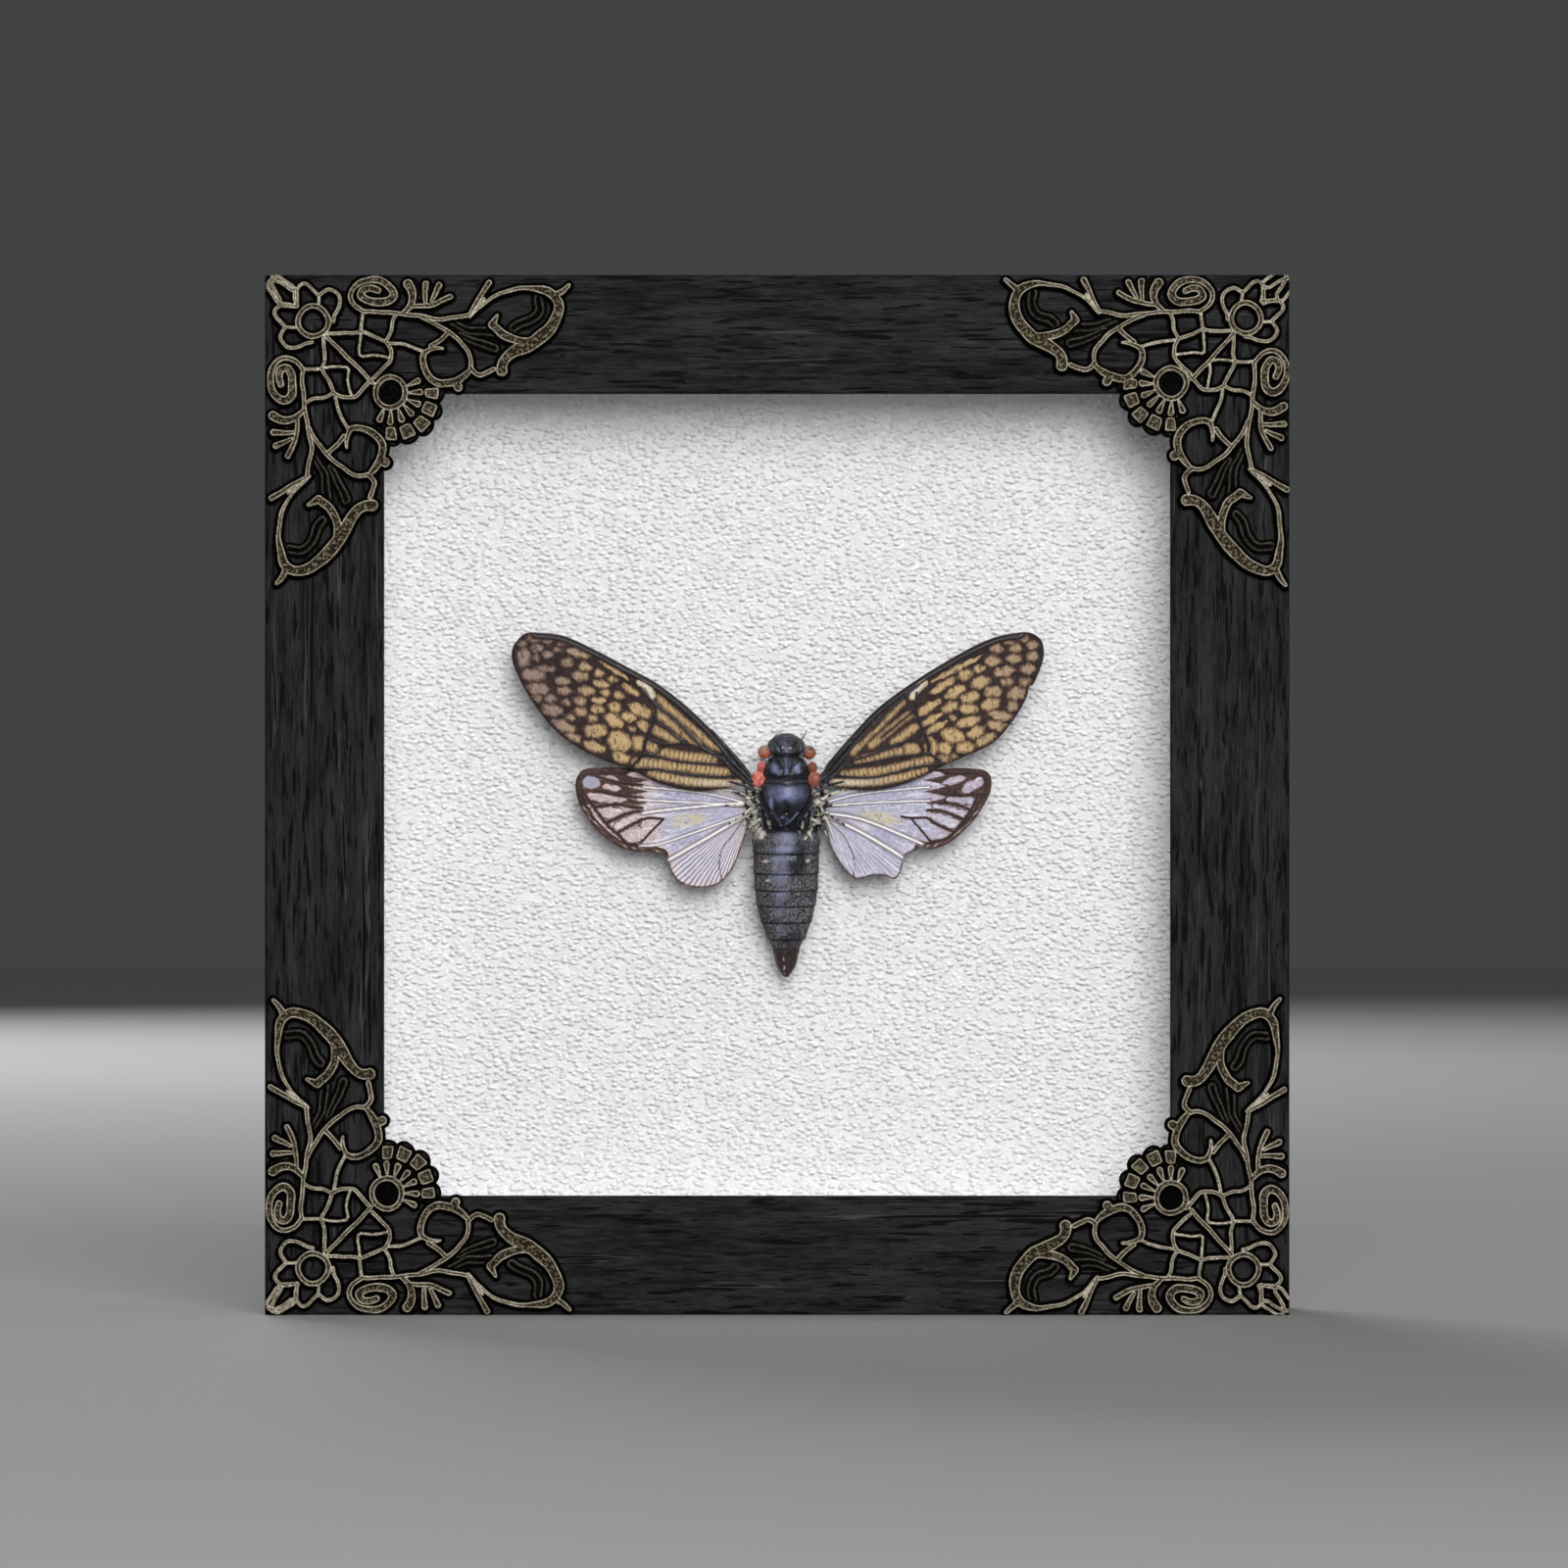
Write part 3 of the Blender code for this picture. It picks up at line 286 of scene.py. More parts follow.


# The corner ornaments: pierced castings of antique brass, laid on the face of the rails.
# Each is cast in one piece; its raised rims are rubbed bright, with a painted highlight along
# them, and its hollows are dark.

ARM_STROKES = [
    ("high", (0.75,), [(5.4, 5.3), (4.2, 5.0), (2.4, 4.8), (1.4, 3.5), (0.6, 2.2), (0.9, 1.2)]),
    ("high", (0.8,), [(5.4, 5.3), (5.4, 2.7), (4.5, 2.6), (3.2, 1.7), (1.7, 1.1), (0.9, 1.2)]),
    ("high", (0.8,), [(5.4, 2.7), (5.9, 1.9), (6.6, 1.6), (7.4, 1.9), (8.2, 2.7), (8.9, 3.4)]),
    ("high", (0.7,), [(9.0, 5.2), (9.0, 3.5)]),
    ("high", (0.8,), [(9.0, 3.5), (9.7, 3.0), (10.5, 2.6), (11.4, 2.8), (12.3, 3.5), (12.6, 4.6),
                      (12.3, 5.8), (11.6, 6.9), (11.4, 7.9)]),
    ("high", (0.9, 1.2, 1.6, 1.55, 1.3),
     [(16.5, 6.3), (14.9, 5.1), (14.3, 3.5), (14.9, 2.2), (16.3, 1.2), (18.1, 0.9), (19.7, 1.3),
      (21.0, 2.4), (21.4, 3.6), (20.5, 4.5), (18.9, 4.6), (17.3, 4.4), (16.2, 3.8), (16.1, 3.2),
      (16.6, 2.5), (17.8, 2.3), (18.9, 2.7)]),
    ("high", (0.9,), [(16.3, 6.3), (17.9, 6.2), (19.6, 6.3), (22.8, 6.6), (26.1, 7.0),
                      (29.3, 7.5), (31.9, 7.1), (33.7, 6.8)]),
    ("high", (0.9, 1.8), [(22.8, 6.6), (23.6, 5.9), (24.3, 5.1), (24.6, 4.0), (24.4, 2.8),
                          (23.8, 1.7)]),
    ("low", (1.2,), [(24.6, 1.6), (25.1, 3.0), (25.6, 5.0)]),
    ("high", (0.8, 1.3), [(26.7, 5.0), (26.7, 3.2), (26.7, 1.6)]),
    ("high", (0.8, 1.3), [(27.7, 4.4), (28.4, 3.2), (29.0, 1.9)]),
    ("high", (0.9, 1.1), [(24.0, 5.4), (26.1, 5.3), (27.7, 5.1), (29.0, 4.6), (30.8, 3.7)]),
    ("low", (1.6,), [(25.5, 4.6), (28.6, 3.6)]),
    ("high", (0.8, 1.2), [(33.9, 6.9), (35.0, 5.1), (36.1, 3.2), (37.2, 1.5)]),
    ("high", (0.7,), [(34.0, 7.1), (35.3, 5.8), (36.5, 4.0)]),
    ("high", (0.65, 0.75, 0.85, 0.95, 1.7, 1.8, 2.1, 2.35, 2.3, 1.8, 2.1),
     [(33.9, 6.8), (35.3, 5.8), (36.9, 4.5), (38.6, 3.5), (40.3, 2.8), (42.3, 2.4), (44.2, 2.3),
      (46.0, 2.6), (47.5, 3.2), (48.5, 4.3), (48.8, 5.6), (48.4, 7.2), (47.5, 8.8),
      (46.2, 10.1), (44.7, 11.3), (42.9, 12.2), (41.3, 12.9), (40.0, 13.9), (39.4, 15.0),
      (39.4, 16.0)]),
    ("high", (1.3, 0.9), [(48.4, 3.4), (49.6, 2.7), (50.5, 1.9)]),
    ("high", (1.4, 1.6, 1.5), [(44.7, 11.0), (43.1, 11.1), (41.3, 10.8), (39.5, 10.0),
                               (38.4, 8.9), (37.8, 8.4)]),
    ("high", (1.5, 0.8), [(37.9, 8.2), (38.6, 6.9)]),
    ("low", (1.4,), [(45.4, 3.9), (45.6, 5.9), (44.4, 7.4), (42.3, 8.1), (41.2, 8.9)]),
    ("low", (0.9, 1.5), [(30.4, 7.7), (32.6, 8.7), (34.2, 9.3), (38.0, 9.5)]),
    ("low", (0.9, 1.4), [(32.6, 10.0), (34.2, 10.8), (36.3, 11.6), (38.2, 12.2)]),
    ("high", (0.9,), [(26.1, 7.2), (27.7, 7.9), (29.3, 8.8), (30.8, 9.8), (32.1, 10.8),
                      (33.0, 11.9), (33.9, 13.1), (34.3, 14.4), (34.2, 15.8)]),
    ("high", (1.0, 1.4, 1.5, 1.4, 1.3, 1.2, 0.9, 0.7),
     [(34.0, 16.1), (33.2, 16.8), (31.9, 17.6), (30.4, 18.1), (29.0, 18.1), (27.7, 17.3),
      (26.7, 16.0), (26.3, 14.5), (26.5, 13.2), (27.4, 12.6), (28.7, 12.3), (29.6, 12.3)]),
    ("high", (1.0,), [(27.6, 12.0), (29.1, 11.0), (30.3, 9.8)]),
    ("high", (1.7,), [(31.9, 18.3), (32.1, 18.7)]),
    ("high", (1.0,), [(34.2, 15.6), (34.8, 16.3), (35.6, 16.7), (36.6, 16.4), (38.0, 15.8)]),
    ("high", (0.8,), [(10.6, 9.8), (13.1, 9.8), (14.7, 9.8), (16.2, 9.5), (17.9, 10.3),
                      (20.2, 11.2)]),
    ("high", (0.85,), [(20.2, 11.1), (20.9, 12.3), (21.0, 13.4), (20.8, 14.5), (20.1, 15.3),
                       (18.2, 17.1)]),
    ("high", (0.65,), [(16.0, 9.6), (15.8, 13.4), (17.9, 13.4), (20.6, 13.9)]),
    ("high", (0.75,), [(16.3, 6.4), (16.2, 7.9), (16.0, 9.5)]),
    ("high", (0.8,), [(21.8, 6.7), (21.2, 7.9), (21.0, 9.5), (20.2, 11.1)]),
    ("high", (0.75,), [(20.6, 11.4), (22.8, 11.6), (24.4, 12.1), (26.8, 12.9)]),
]
DIAGONAL = ((0.9,), [(10.3, 10.3), (18.0, 18.0)])
DRAWN_SPOTS = [(8.1, 7.8), (17.9, 3.2), (23.8, 1.2), (30.8, 3.7), (37.3, 1.2), (50.6, 1.8),
               (39.4, 16.0), (30.4, 14.5)]
# Where those spots lie on each casting: its corner, the fan's centre, the arm along the
# rail above or below it and the arm along the side rail, in millimetres from the corner
CORNERS = {
    "top_left": (-1, 1, (20.9, 19.6),
                 [(8.1, 7.8), (17.9, 3.2), (23.8, 1.2), (30.8, 3.7), (37.3, 1.2), (50.6, 1.8),
                  (39.4, 16.0), (30.4, 14.5)],
                 [(8.1, 7.8), (17.3, 3.3), (23.5, 0.9), (30.2, 3.8), (37.3, 0.8), (51.4, 1.9),
                  (38.3, 17.9), (29.4, 16.2)]),
    "top_right": (1, 1, (19.7, 18.1),
                  [(7.3, 7.3), (16.4, 3.3), (21.8, 0.9), (28.4, 3.1), (34.3, 0.6), (47.2, 0.8),
                   (37.8, 15.2), (28.7, 13.5)],
                  [(7.3, 7.3), (16.0, 2.8), (22.0, 0.6), (28.9, 3.2), (35.9, 0.2), (51.7, 0.6),
                   (37.4, 17.2), (28.2, 15.2)]),
    "bottom_left": (-1, -1, (20.3, 20.2),
                    [(8.1, 7.8), (17.6, 3.3), (23.7, 0.9), (30.6, 3.7), (37.0, 0.4),
                     (50.7, 0.9), (39.0, 16.1), (29.9, 14.7)],
                    [(7.8, 8.1), (17.5, 3.0), (23.9, 0.9), (31.3, 3.7), (38.0, 0.7),
                     (52.4, 1.4), (40.0, 17.5), (30.3, 15.4)]),
    "bottom_right": (1, -1, (19.7, 19.5),
                     [(7.7, 7.6), (16.7, 3.2), (22.1, 0.7), (28.9, 3.0), (34.7, 0.2),
                      (47.1, 0.4), (37.2, 14.9), (28.7, 14.4)],
                     [(7.6, 7.7), (17.1, 3.0), (23.6, 0.9), (30.5, 3.7), (37.6, 0.6),
                      (52.6, 1.6), (38.8, 17.0), (29.7, 15.6)]),
}
# Grid step and the heights above the wood, in millimetres: a raised stroke's rim, how far
# its middle dips, the low plates, and the dark skirt that runs out round every stroke.
# FAR is the distance held by grid points that no stroke comes near.
CASTING_SIZE = 54
CASTING_STEP = 0.155
CASTING_RIM = 1.62
CASTING_DISH = 0.3
LOW_HEIGHT = 0.62
# The skirt is dark patina and painted shade at once: a sheet laid round every stroke
SKIRT = 0.46
SKIRT_HEIGHT = 0.4
RIM_MARGIN = 0.15
WAVER = 0.06
RING_RADIUS = 2.5
RING_HALF = 0.55
STROKE_STEPS = 3
FAR = 9.0


def smooth_path(points, steps, closed=False):
    """A curve through the points, as an array, with the given steps from each to the next."""
    knots = np.asarray(points, float)
    if closed:
        knots = np.vstack([knots[-1], knots, knots[:2]])
    else:
        knots = np.vstack([knots[0], knots, knots[-1]])
    t = (np.arange(steps) / steps)[:, None]
    path = []
    for before, here, ahead, after in zip(knots, knots[1:], knots[2:], knots[3:]):
        path.append(here + (t * (ahead - before)
                            + t ** 2 * (2 * before - 5 * here + 4 * ahead - after)
                            + t ** 3 * (3 * here - before - 3 * ahead + after)) / 2)
    if not closed:
        path.append(knots[-1:])
    return np.vstack(path)


def fitted(points, spots):
    """Points of the drawing moved to where they lie on one arm, led by the nearest spots."""
    moved = []
    for u, v in points:
        pull = np.array([1 / ((u - a) ** 2 + (v - b) ** 2 + 1) for a, b in DRAWN_SPOTS])
        shift = np.array(spots) - np.array(DRAWN_SPOTS)
        moved.append(tuple(np.array((u, v)) + pull @ shift / pull.sum()))
    return moved


def from_segment(u, v, a, b):
    """How far each point is from the line a to b, and what part of it the nearest spot is at."""
    du, dv = b - a
    u, v = u - a[0], v - a[1]
    t = np.clip((u * du + v * dv) / max(du * du + dv * dv, 1e-9), 0, 1)
    return np.hypot(u - t * du, v - t * dv), t


def turned(u, v, middle, degrees):
    """Places seen from a middle, along and across a direction."""
    angle = math.radians(degrees)
    u, v = u - middle[0], v - middle[1]
    return (u * math.cos(angle) + v * math.sin(angle),
            v * math.cos(angle) - u * math.sin(angle))


class Relief:
    """A square grid of heights over flat metal, and of distances to the metal's edge."""

    def __init__(self, low, high, step):
        self.low = np.array(low, float)
        self.step = step
        counts = (np.array(high, float) - self.low) / step
        self.u, self.v = np.indices(np.ceil(counts).astype(int) + 1) * step
        self.u += self.low[0]
        self.v += self.low[1]
        self.edge = np.full(self.u.shape, FAR)

    def stroke(self, widths, points, margin=1.0):
        """Windows round each step of a stroke, and the distance past its edge in each."""
        path = smooth_path(points, STROKE_STEPS) if len(points) > 2 else np.asarray(points, float)
        spread = np.linspace(0, 1, len(path))
        half = np.interp(spread, np.linspace(0, 1, len(widths)), widths) / 2
        for a, b, r_a, r_b in zip(path, path[1:], half, half[1:]):
            start = (np.minimum(a, b) - margin - max(r_a, r_b) - self.low) / self.step
            stop = (np.maximum(a, b) + margin + max(r_a, r_b) - self.low) / self.step
            i, j = np.maximum(start.astype(int), 0)
            m, n = np.maximum(stop.astype(int) + 2, 0)
            window = np.s_[i:m, j:n]
            away, t = from_segment(self.u[window], self.v[window], a, b)
            yield window, away - (r_a + (r_b - r_a) * t)


def ramped(values, start, end):
    """0 at start, 1 at end and smooth between them."""
    t = np.clip((values - start) / (end - start), 0, 1)
    return t * t * (3 - 2 * t)


def stroke_distance(relief, widths, points):
    """Distance of every grid point past one stroke's edge, negative inside it."""
    field = np.full(relief.u.shape, FAR)
    for window, past in relief.stroke(widths, points):
        field[window] = np.minimum(field[window], past)
    return field


def fan_distances(relief, centre):
    """The fan: a ring, seven wedges and five blocks, and the scalloped plate under them."""
    du = relief.u - centre[0]
    dv = relief.v - centre[1]
    distance = np.hypot(du, dv)
    high = np.abs(distance - RING_RADIUS) - RING_HALF
    off_axis = np.abs(np.arctan2(dv - du, du + dv))
    low = np.maximum(np.abs(distance - 5.2) - 2.4, (off_axis - math.radians(56)) * 6.6)
    low = np.minimum(low, distance - 2.6)
    for angle in (-67, -45, -22, 0, 22, 45, 67):
        turn = math.radians(45 + angle)
        out = np.array((math.cos(turn), math.sin(turn)))
        ends = [tuple(np.array(centre) + r * out) for r in (3.1, 4.9)]
        high = np.minimum(high, stroke_distance(relief, (0.65, 1.3), ends))
    for angle in (-44, -22, 0, 22, 44):
        along, across = turned(relief.u, relief.v, centre, 45 + angle)
        along -= 7.25 - 0.01 * abs(angle)
        low = np.minimum(low, np.hypot(along - 0.3, across) - 1.45)
        half = 0.95 if abs(angle) == 44 else 1.15
        squarish = np.hypot(np.maximum(np.abs(along) - 0.75, 0),
                            np.maximum(np.abs(across) - half + 0.45 - 0.1 * along, 0)) - 0.45
        high = np.minimum(high, squarish)
    return high, low


def field_sheet(relief):
    """The grid's cells inside the edge, their rim points drawn onto the edge line.
    Gives the kept points' grid places, their positions and the cells as quads."""
    field = relief.edge
    centre = (field[:-1, :-1] + field[1:, :-1] + field[1:, 1:] + field[:-1, 1:]) / 4
    cells = np.argwhere(centre < 0)
    number = np.full(field.shape, -1)
    corners = [cells + shift for shift in ((0, 0), (1, 0), (1, 1), (0, 1))]
    used = np.zeros(field.shape, int)
    for corner in corners:
        np.add.at(used, tuple(corner.T), 1)
    places = np.argwhere(used > 0)
    number[tuple(places.T)] = np.arange(len(places))
    quads = np.stack([number[tuple(corner.T)] for corner in corners], axis=1)
    spots = places * relief.step + relief.low
    slope = np.stack(np.gradient(field, relief.step), axis=-1)[tuple(places.T)]
    steep = np.maximum((slope ** 2).sum(axis=1), 0.2)
    pull = (field[tuple(places.T)] / steep)[:, None] * slope
    length = np.linalg.norm(pull, axis=1, keepdims=True)
    pull *= np.minimum(1, 0.7 * relief.step / np.maximum(length, 1e-9))
    rim = (used[tuple(places.T)] < 4)[:, None]
    return places, np.where(rim, spots - pull, spots), quads


def closed_plate(front, back, quads):
    """Points and faces of a plate with the given front and back and a wall round its rim."""
    count = len(front)
    edges = np.concatenate([quads[:, [k, (k + 1) % 4]] for k in range(4)])
    key = edges[:, 0] * count + edges[:, 1]
    other = edges[:, 1] * count + edges[:, 0]
    rim = edges[~np.isin(key, other)]
    wall = np.stack([rim[:, 1], rim[:, 0], rim[:, 0] + count, rim[:, 1] + count], axis=1)
    faces = np.concatenate([quads, quads[:, ::-1] + count, wall])
    return np.concatenate([front, back]), faces


def store(piece, name, values):
    layer = piece.data.attributes.new(name, "FLOAT", "POINT")
    layer.data.foreach_set("value", np.asarray(values, np.float32))


def softened(values, rounds):
    """The grid's values, each averaged with its neighbours."""
    for _ in range(rounds):
        padded = np.pad(values, 1, mode="edge")
        values = (padded[1:-1, 1:-1] * 2 + padded[:-2, 1:-1] + padded[2:, 1:-1]
                  + padded[1:-1, :-2] + padded[1:-1, 2:]) / 6
    return values


BRASS_SOOT_AND_SHADE = (0.0010, 0.0009, 0.0008, 1)
BRASS_SPECK = (0.016, 0.0125, 0.008, 1)
BRASS_EDGE_HIGHLIGHT = (0.26, 0.235, 0.18, 1)
BRASS_TAN = (0.27, 0.22, 0.14, 1)
BRASS_RUBBED_AND_HIGHLIGHT = (0.95, 0.88, 0.70, 1)


def antique_brass():
    material, tree, shader = new_material("antique brass")
    vector = placed(tree)
    grime = noise(tree, vector, 520.0, 3.0, 0.6)
    pits = noise(tree, vector, 1900.0, 2.0, 0.6)
    fine = noise(tree, vector, 5200.0, 2.0, 0.6)
    height = attribute(tree, "raised")
    rim = attribute(tree, "rim")
    top = between(tree, times(tree, grime, 0.35, height), 0.72, 1.02)
    speck = times(tree, between(tree, pits, 0.42, 0.54), maths(tree, "SUBTRACT", 1.0, rim))
    patchy = times(tree, pits, 1.3, times(tree, grime, 0.9))
    # Rubbed brass in patches and along the rims, with a painted highlight on the rims
    rubbed_and_highlit = between(tree, maths(tree, "ADD", patchy, rim), 1.55, 2.15)
    rubbed_and_highlit = times(tree, rubbed_and_highlit, between(tree, fine, 0.3, 0.6, 0.55, 1.0))
    color = layered(tree, BRASS_TAN, (times(tree, speck, 0.95), BRASS_SPECK),
                    (rubbed_and_highlit, BRASS_RUBBED_AND_HIGHLIGHT))
    # A painted highlight along the edges of the low plates
    low_edge_highlight = times(tree, attribute(tree, "low_edge_highlight"), between(tree, pits, 0.3, 0.55, 0.35, 1.0))
    dust = group_node(tree, DUST, {"Vector": vector, "Amount": 0.06})["Mask"]
    # Soot colour on the skirt and the low parts: dark patina, with painted shade round each stroke
    color = layered(tree, blend(tree, top, BRASS_SOOT_AND_SHADE, color), (low_edge_highlight, BRASS_EDGE_HIGHLIGHT),
                    (dust, DUST_COLOR))
    hollow = times(tree, speck, -1.6, times(tree, fine, 0.4))
    set_inputs(tree, shader, {
        "Base Color": color,
        "Metallic": times(tree, top, between(tree, rubbed_and_highlit, 0.0, 1.0, 0.4, 0.2)),
        "Roughness": between(tree, rubbed_and_highlit, 0.0, 1.0, 0.52, 0.36),
        "Specular IOR Level": 0.04,
        "Normal": bumped(tree, hollow, 0.06 * MM)})
    return material


brass = antique_brass()
for corner, (side, height_side, fan_centre, along, inward) in CORNERS.items():
    node = "corner_casting_" + corner
    (_, front, _), (_, rear, _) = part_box(node)
    casting = Relief((0, 0), (CASTING_SIZE, CASTING_SIZE), CASTING_STEP)
    # The drawing is read with a slight waver, as cast edges are never quite straight
    waver = WAVER * np.sin(1.3 * casting.v + 0.6 * casting.u)
    casting.v = casting.v + WAVER * np.sin(1.4 * casting.u - 0.5 * casting.v)
    casting.u = casting.u + waver
    off_ring = np.hypot(casting.u - along[0][0], casting.v - along[0][1]) - RING_RADIUS
    ring = np.abs(off_ring) - RING_HALF
    fan_high, fan_low = fan_distances(casting, fan_centre)
    fields = {"high": np.minimum(ring, fan_high), "low": fan_low}
    strokes = [(kind, widths, fitted(points, along)) for kind, widths, points in ARM_STROKES]
    strokes += [(kind, widths, [(b, a) for a, b in fitted(points, inward)])
                for kind, widths, points in ARM_STROKES]
    strokes.append(("high", DIAGONAL[0], fitted(DIAGONAL[1], along)))
    for kind, widths, points in strokes:
        fields[kind] = np.minimum(fields[kind], stroke_distance(casting, widths, points))
    inset = -fields["high"]
    raised = ramped(inset, -0.07, 0.17)
    dished = ramped(inset, 0.22, 0.46)
    height = SKIRT_HEIGHT + (CASTING_RIM - SKIRT_HEIGHT) * raised - CASTING_DISH * dished
    plate = SKIRT_HEIGHT + (LOW_HEIGHT - SKIRT_HEIGHT) * ramped(-fields["low"], 0, 0.3)
    height = np.maximum(height, plate)
    # The rim: a painted highlight along both edges of every raised stroke, where it is rubbed too
    rim = np.exp(-((inset - 0.2) / 0.17) ** 2)
    # A painted highlight along the edges of the low plates
    low_edge_highlight = 0.75 * np.exp(-((fields["low"] + 0.16) / 0.1) ** 2) * ramped(inset, -0.3, -0.5)
    casting.edge = np.minimum(fields["high"], fields["low"]) - SKIRT
    straight_u, straight_v = np.indices(casting.u.shape) * CASTING_STEP
    casting.edge = np.maximum(casting.edge, RIM_MARGIN - np.minimum(straight_u, straight_v))
    places, spots, quads = field_sheet(casting)
    pick = tuple(places.T)
    x = side * (solid_size[1][0] - spots[:, 0] * MM)
    z = (solid_size[1][2] if height_side > 0 else 0.0) - height_side * spots[:, 1] * MM
    rise = np.minimum(height[pick] * MM, rear - front - 0.02 * MM)
    top = np.stack([x, rear - rise, z], axis=1)
    base = np.stack([x, np.full(len(x), rear), z], axis=1)
    points, faces = closed_plate(top, base, quads)
    piece = new_piece(node.replace("corner", "brass_corner"), points, faces, brass)
    face_outwards(piece)
    for label, values in (("raised", height[pick] / CASTING_RIM), ("rim", rim[pick]),
                          ("low_edge_highlight", low_edge_highlight[pick])):
        store(piece, label, np.concatenate([values, values * 0]))
    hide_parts(node)
    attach(piece, "root")


# The pane: clear float glass held in the rebate by the rails' front lip.
# It is mostly clear to look through and lets daylight pass on to the paper.

GLASS_IOR = 1.45
GLASS_SHEEN = (0.45, 0.45, 0.45, 1)


def clear_glass():
    material, tree, shader = new_material("clear float glass")
    vector = placed(tree)
    streaks = noise(tree, vector, 45.0, 3.0)
    set_inputs(tree, shader, {
        "Base Color": (1.0, 1.0, 1.0, 1), "Roughness": 0.0, "IOR": GLASS_IOR,
        "Transmission Weight": 1.0, "Specular Tint": GLASS_SHEEN,
        "Normal": bumped(tree, streaks, 0.004 * MM)})
    clear = add_node(tree, "ShaderNodeBsdfTransparent", {"Color": (1, 1, 1, 1)})
    path = add_node(tree, "ShaderNodeLightPath")
    mix = add_node(tree, "ShaderNodeMixShader", {0: path.outputs["Is Shadow Ray"],
                                                 1: shader.outputs[0], 2: clear.outputs[0]})
    tree.links.new(mix.outputs[0], tree.nodes["Material Output"].inputs["Surface"])
    return material


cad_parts["glass_pane"].data.materials[0] = clear_glass()


# Spacers: four strips of white closed-cell foam that hold the pane off the specimen.

FOAM_SHADE = (0.78, 0.78, 0.77, 1)
FOAM_WHITE = (0.86, 0.86, 0.85, 1)


def white_foam():
    material, tree, shader = new_material("white foam")
    vector = placed(tree)
    cells = noise(tree, vector, 2400.0, 2.0)
    patches = noise(tree, vector, 120.0, 2.0)
    set_inputs(tree, shader, {
        "Base Color": blend(tree, patches, FOAM_SHADE, FOAM_WHITE),
        "Roughness": 0.85, "Normal": bumped(tree, cells, 0.06 * MM)})
    return material


foam = white_foam()
for side in ("top", "bottom", "left", "right"):
    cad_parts["spacer_" + side].data.materials[0] = foam


# The backing paper: a heavy off-white paper, embossed all over like fine leather.
# Its pebbles are a little under a millimetre wide, rounded on top, with painted shade between
# them.

PAPER_GREY = (0.79, 0.79, 0.80, 1)
PAPER_WHITE = (0.82, 0.82, 0.825, 1)
PAPER_HOLLOW_SHADE = (0.67, 0.67, 0.69, 1)


def embossed_paper():
    material, tree, shader = new_material("embossed paper")
    vector = placed(tree, (0.8, 1, 1.15), (0, math.radians(20), 0))
    pebbles = add_node(tree, "ShaderNodeTexVoronoi",
                       {"Vector": vector, "Scale": 1150.0, "Smoothness": 0.4},
                       feature="SMOOTH_F1").outputs["Distance"]
    hollows = noise(tree, vector, 1300.0, 1.0)
    fibre = noise(tree, placed(tree), 4200.0, 2.0)
    relief = times(tree, hollows, 0.9, between(tree, pebbles, 0.65, 0.12))
    relief = times(tree, fibre, 0.08, relief)
    tint = noise(tree, placed(tree), 25.0, 2.0)
    color = blend(tree, tint, PAPER_GREY, PAPER_WHITE)
    # Painted shade in the hollows between the pebbles
    set_inputs(tree, shader, {
        "Base Color": blend(tree, between(tree, relief, 0.85, 0.45, 0.0, 0.5), color,
                            PAPER_HOLLOW_SHADE),
        "Roughness": 0.75, "Specular IOR Level": 0.2,
        "Normal": bumped(tree, relief, 0.38 * MM)})
    return material


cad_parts["backing_paper"].data.materials[0] = embossed_paper()


# The fore wings: stiff dark membrane with clear tan windows between its veins, set with a
# black double rib along the leading edge and a creased white patch at its bend.
# Sizes are in millimetres from the specimen's collar, x outwards and z up.

SPECIMEN = np.array((1.5, 0.0, 88.1)) * MM
FORE_HEMS = {
    "left": [
        (6.5, 2.4), (7.8, 4.2), (11.7, 8.3), (16.6, 13.0), (21.4, 16.7), (26.6, 19.6),
        (32.5, 22.7), (37.3, 24.8), (41.6, 25.3), (43.6, 25.1), (45.2, 23.6), (45.8, 22.1),
        (45.7, 20.5), (45.0, 18.6), (43.4, 15.4), (41.1, 12.0), (38.2, 8.6), (34.3, 5.8),
        (29.7, 3.7), (25.8, 2.4), (21.4, 0.3), (16.6, -0.9), (13.8, -1.1), (9.5, -0.6),
        (6.6, 0.1)],
    "right": [
        (6.5, 2.2), (7.0, 3.6), (12.7, 10.1), (16.4, 13.6), (21.9, 17.5), (26.1, 20.1),
        (30.5, 22.6), (35.1, 24.6), (38.9, 25.3), (40.9, 25.2), (42.5, 24.1), (43.0, 22.5),
        (42.8, 20.4), (41.4, 16.9), (40.5, 16.2), (40.1, 14.4), (38.3, 11.2), (35.1, 7.3),
        (31.7, 5.4), (27.1, 3.4), (22.4, 1.1), (18.5, -0.3), (14.5, -1.0), (10.0, -0.8),
        (6.6, 0.1)],
}
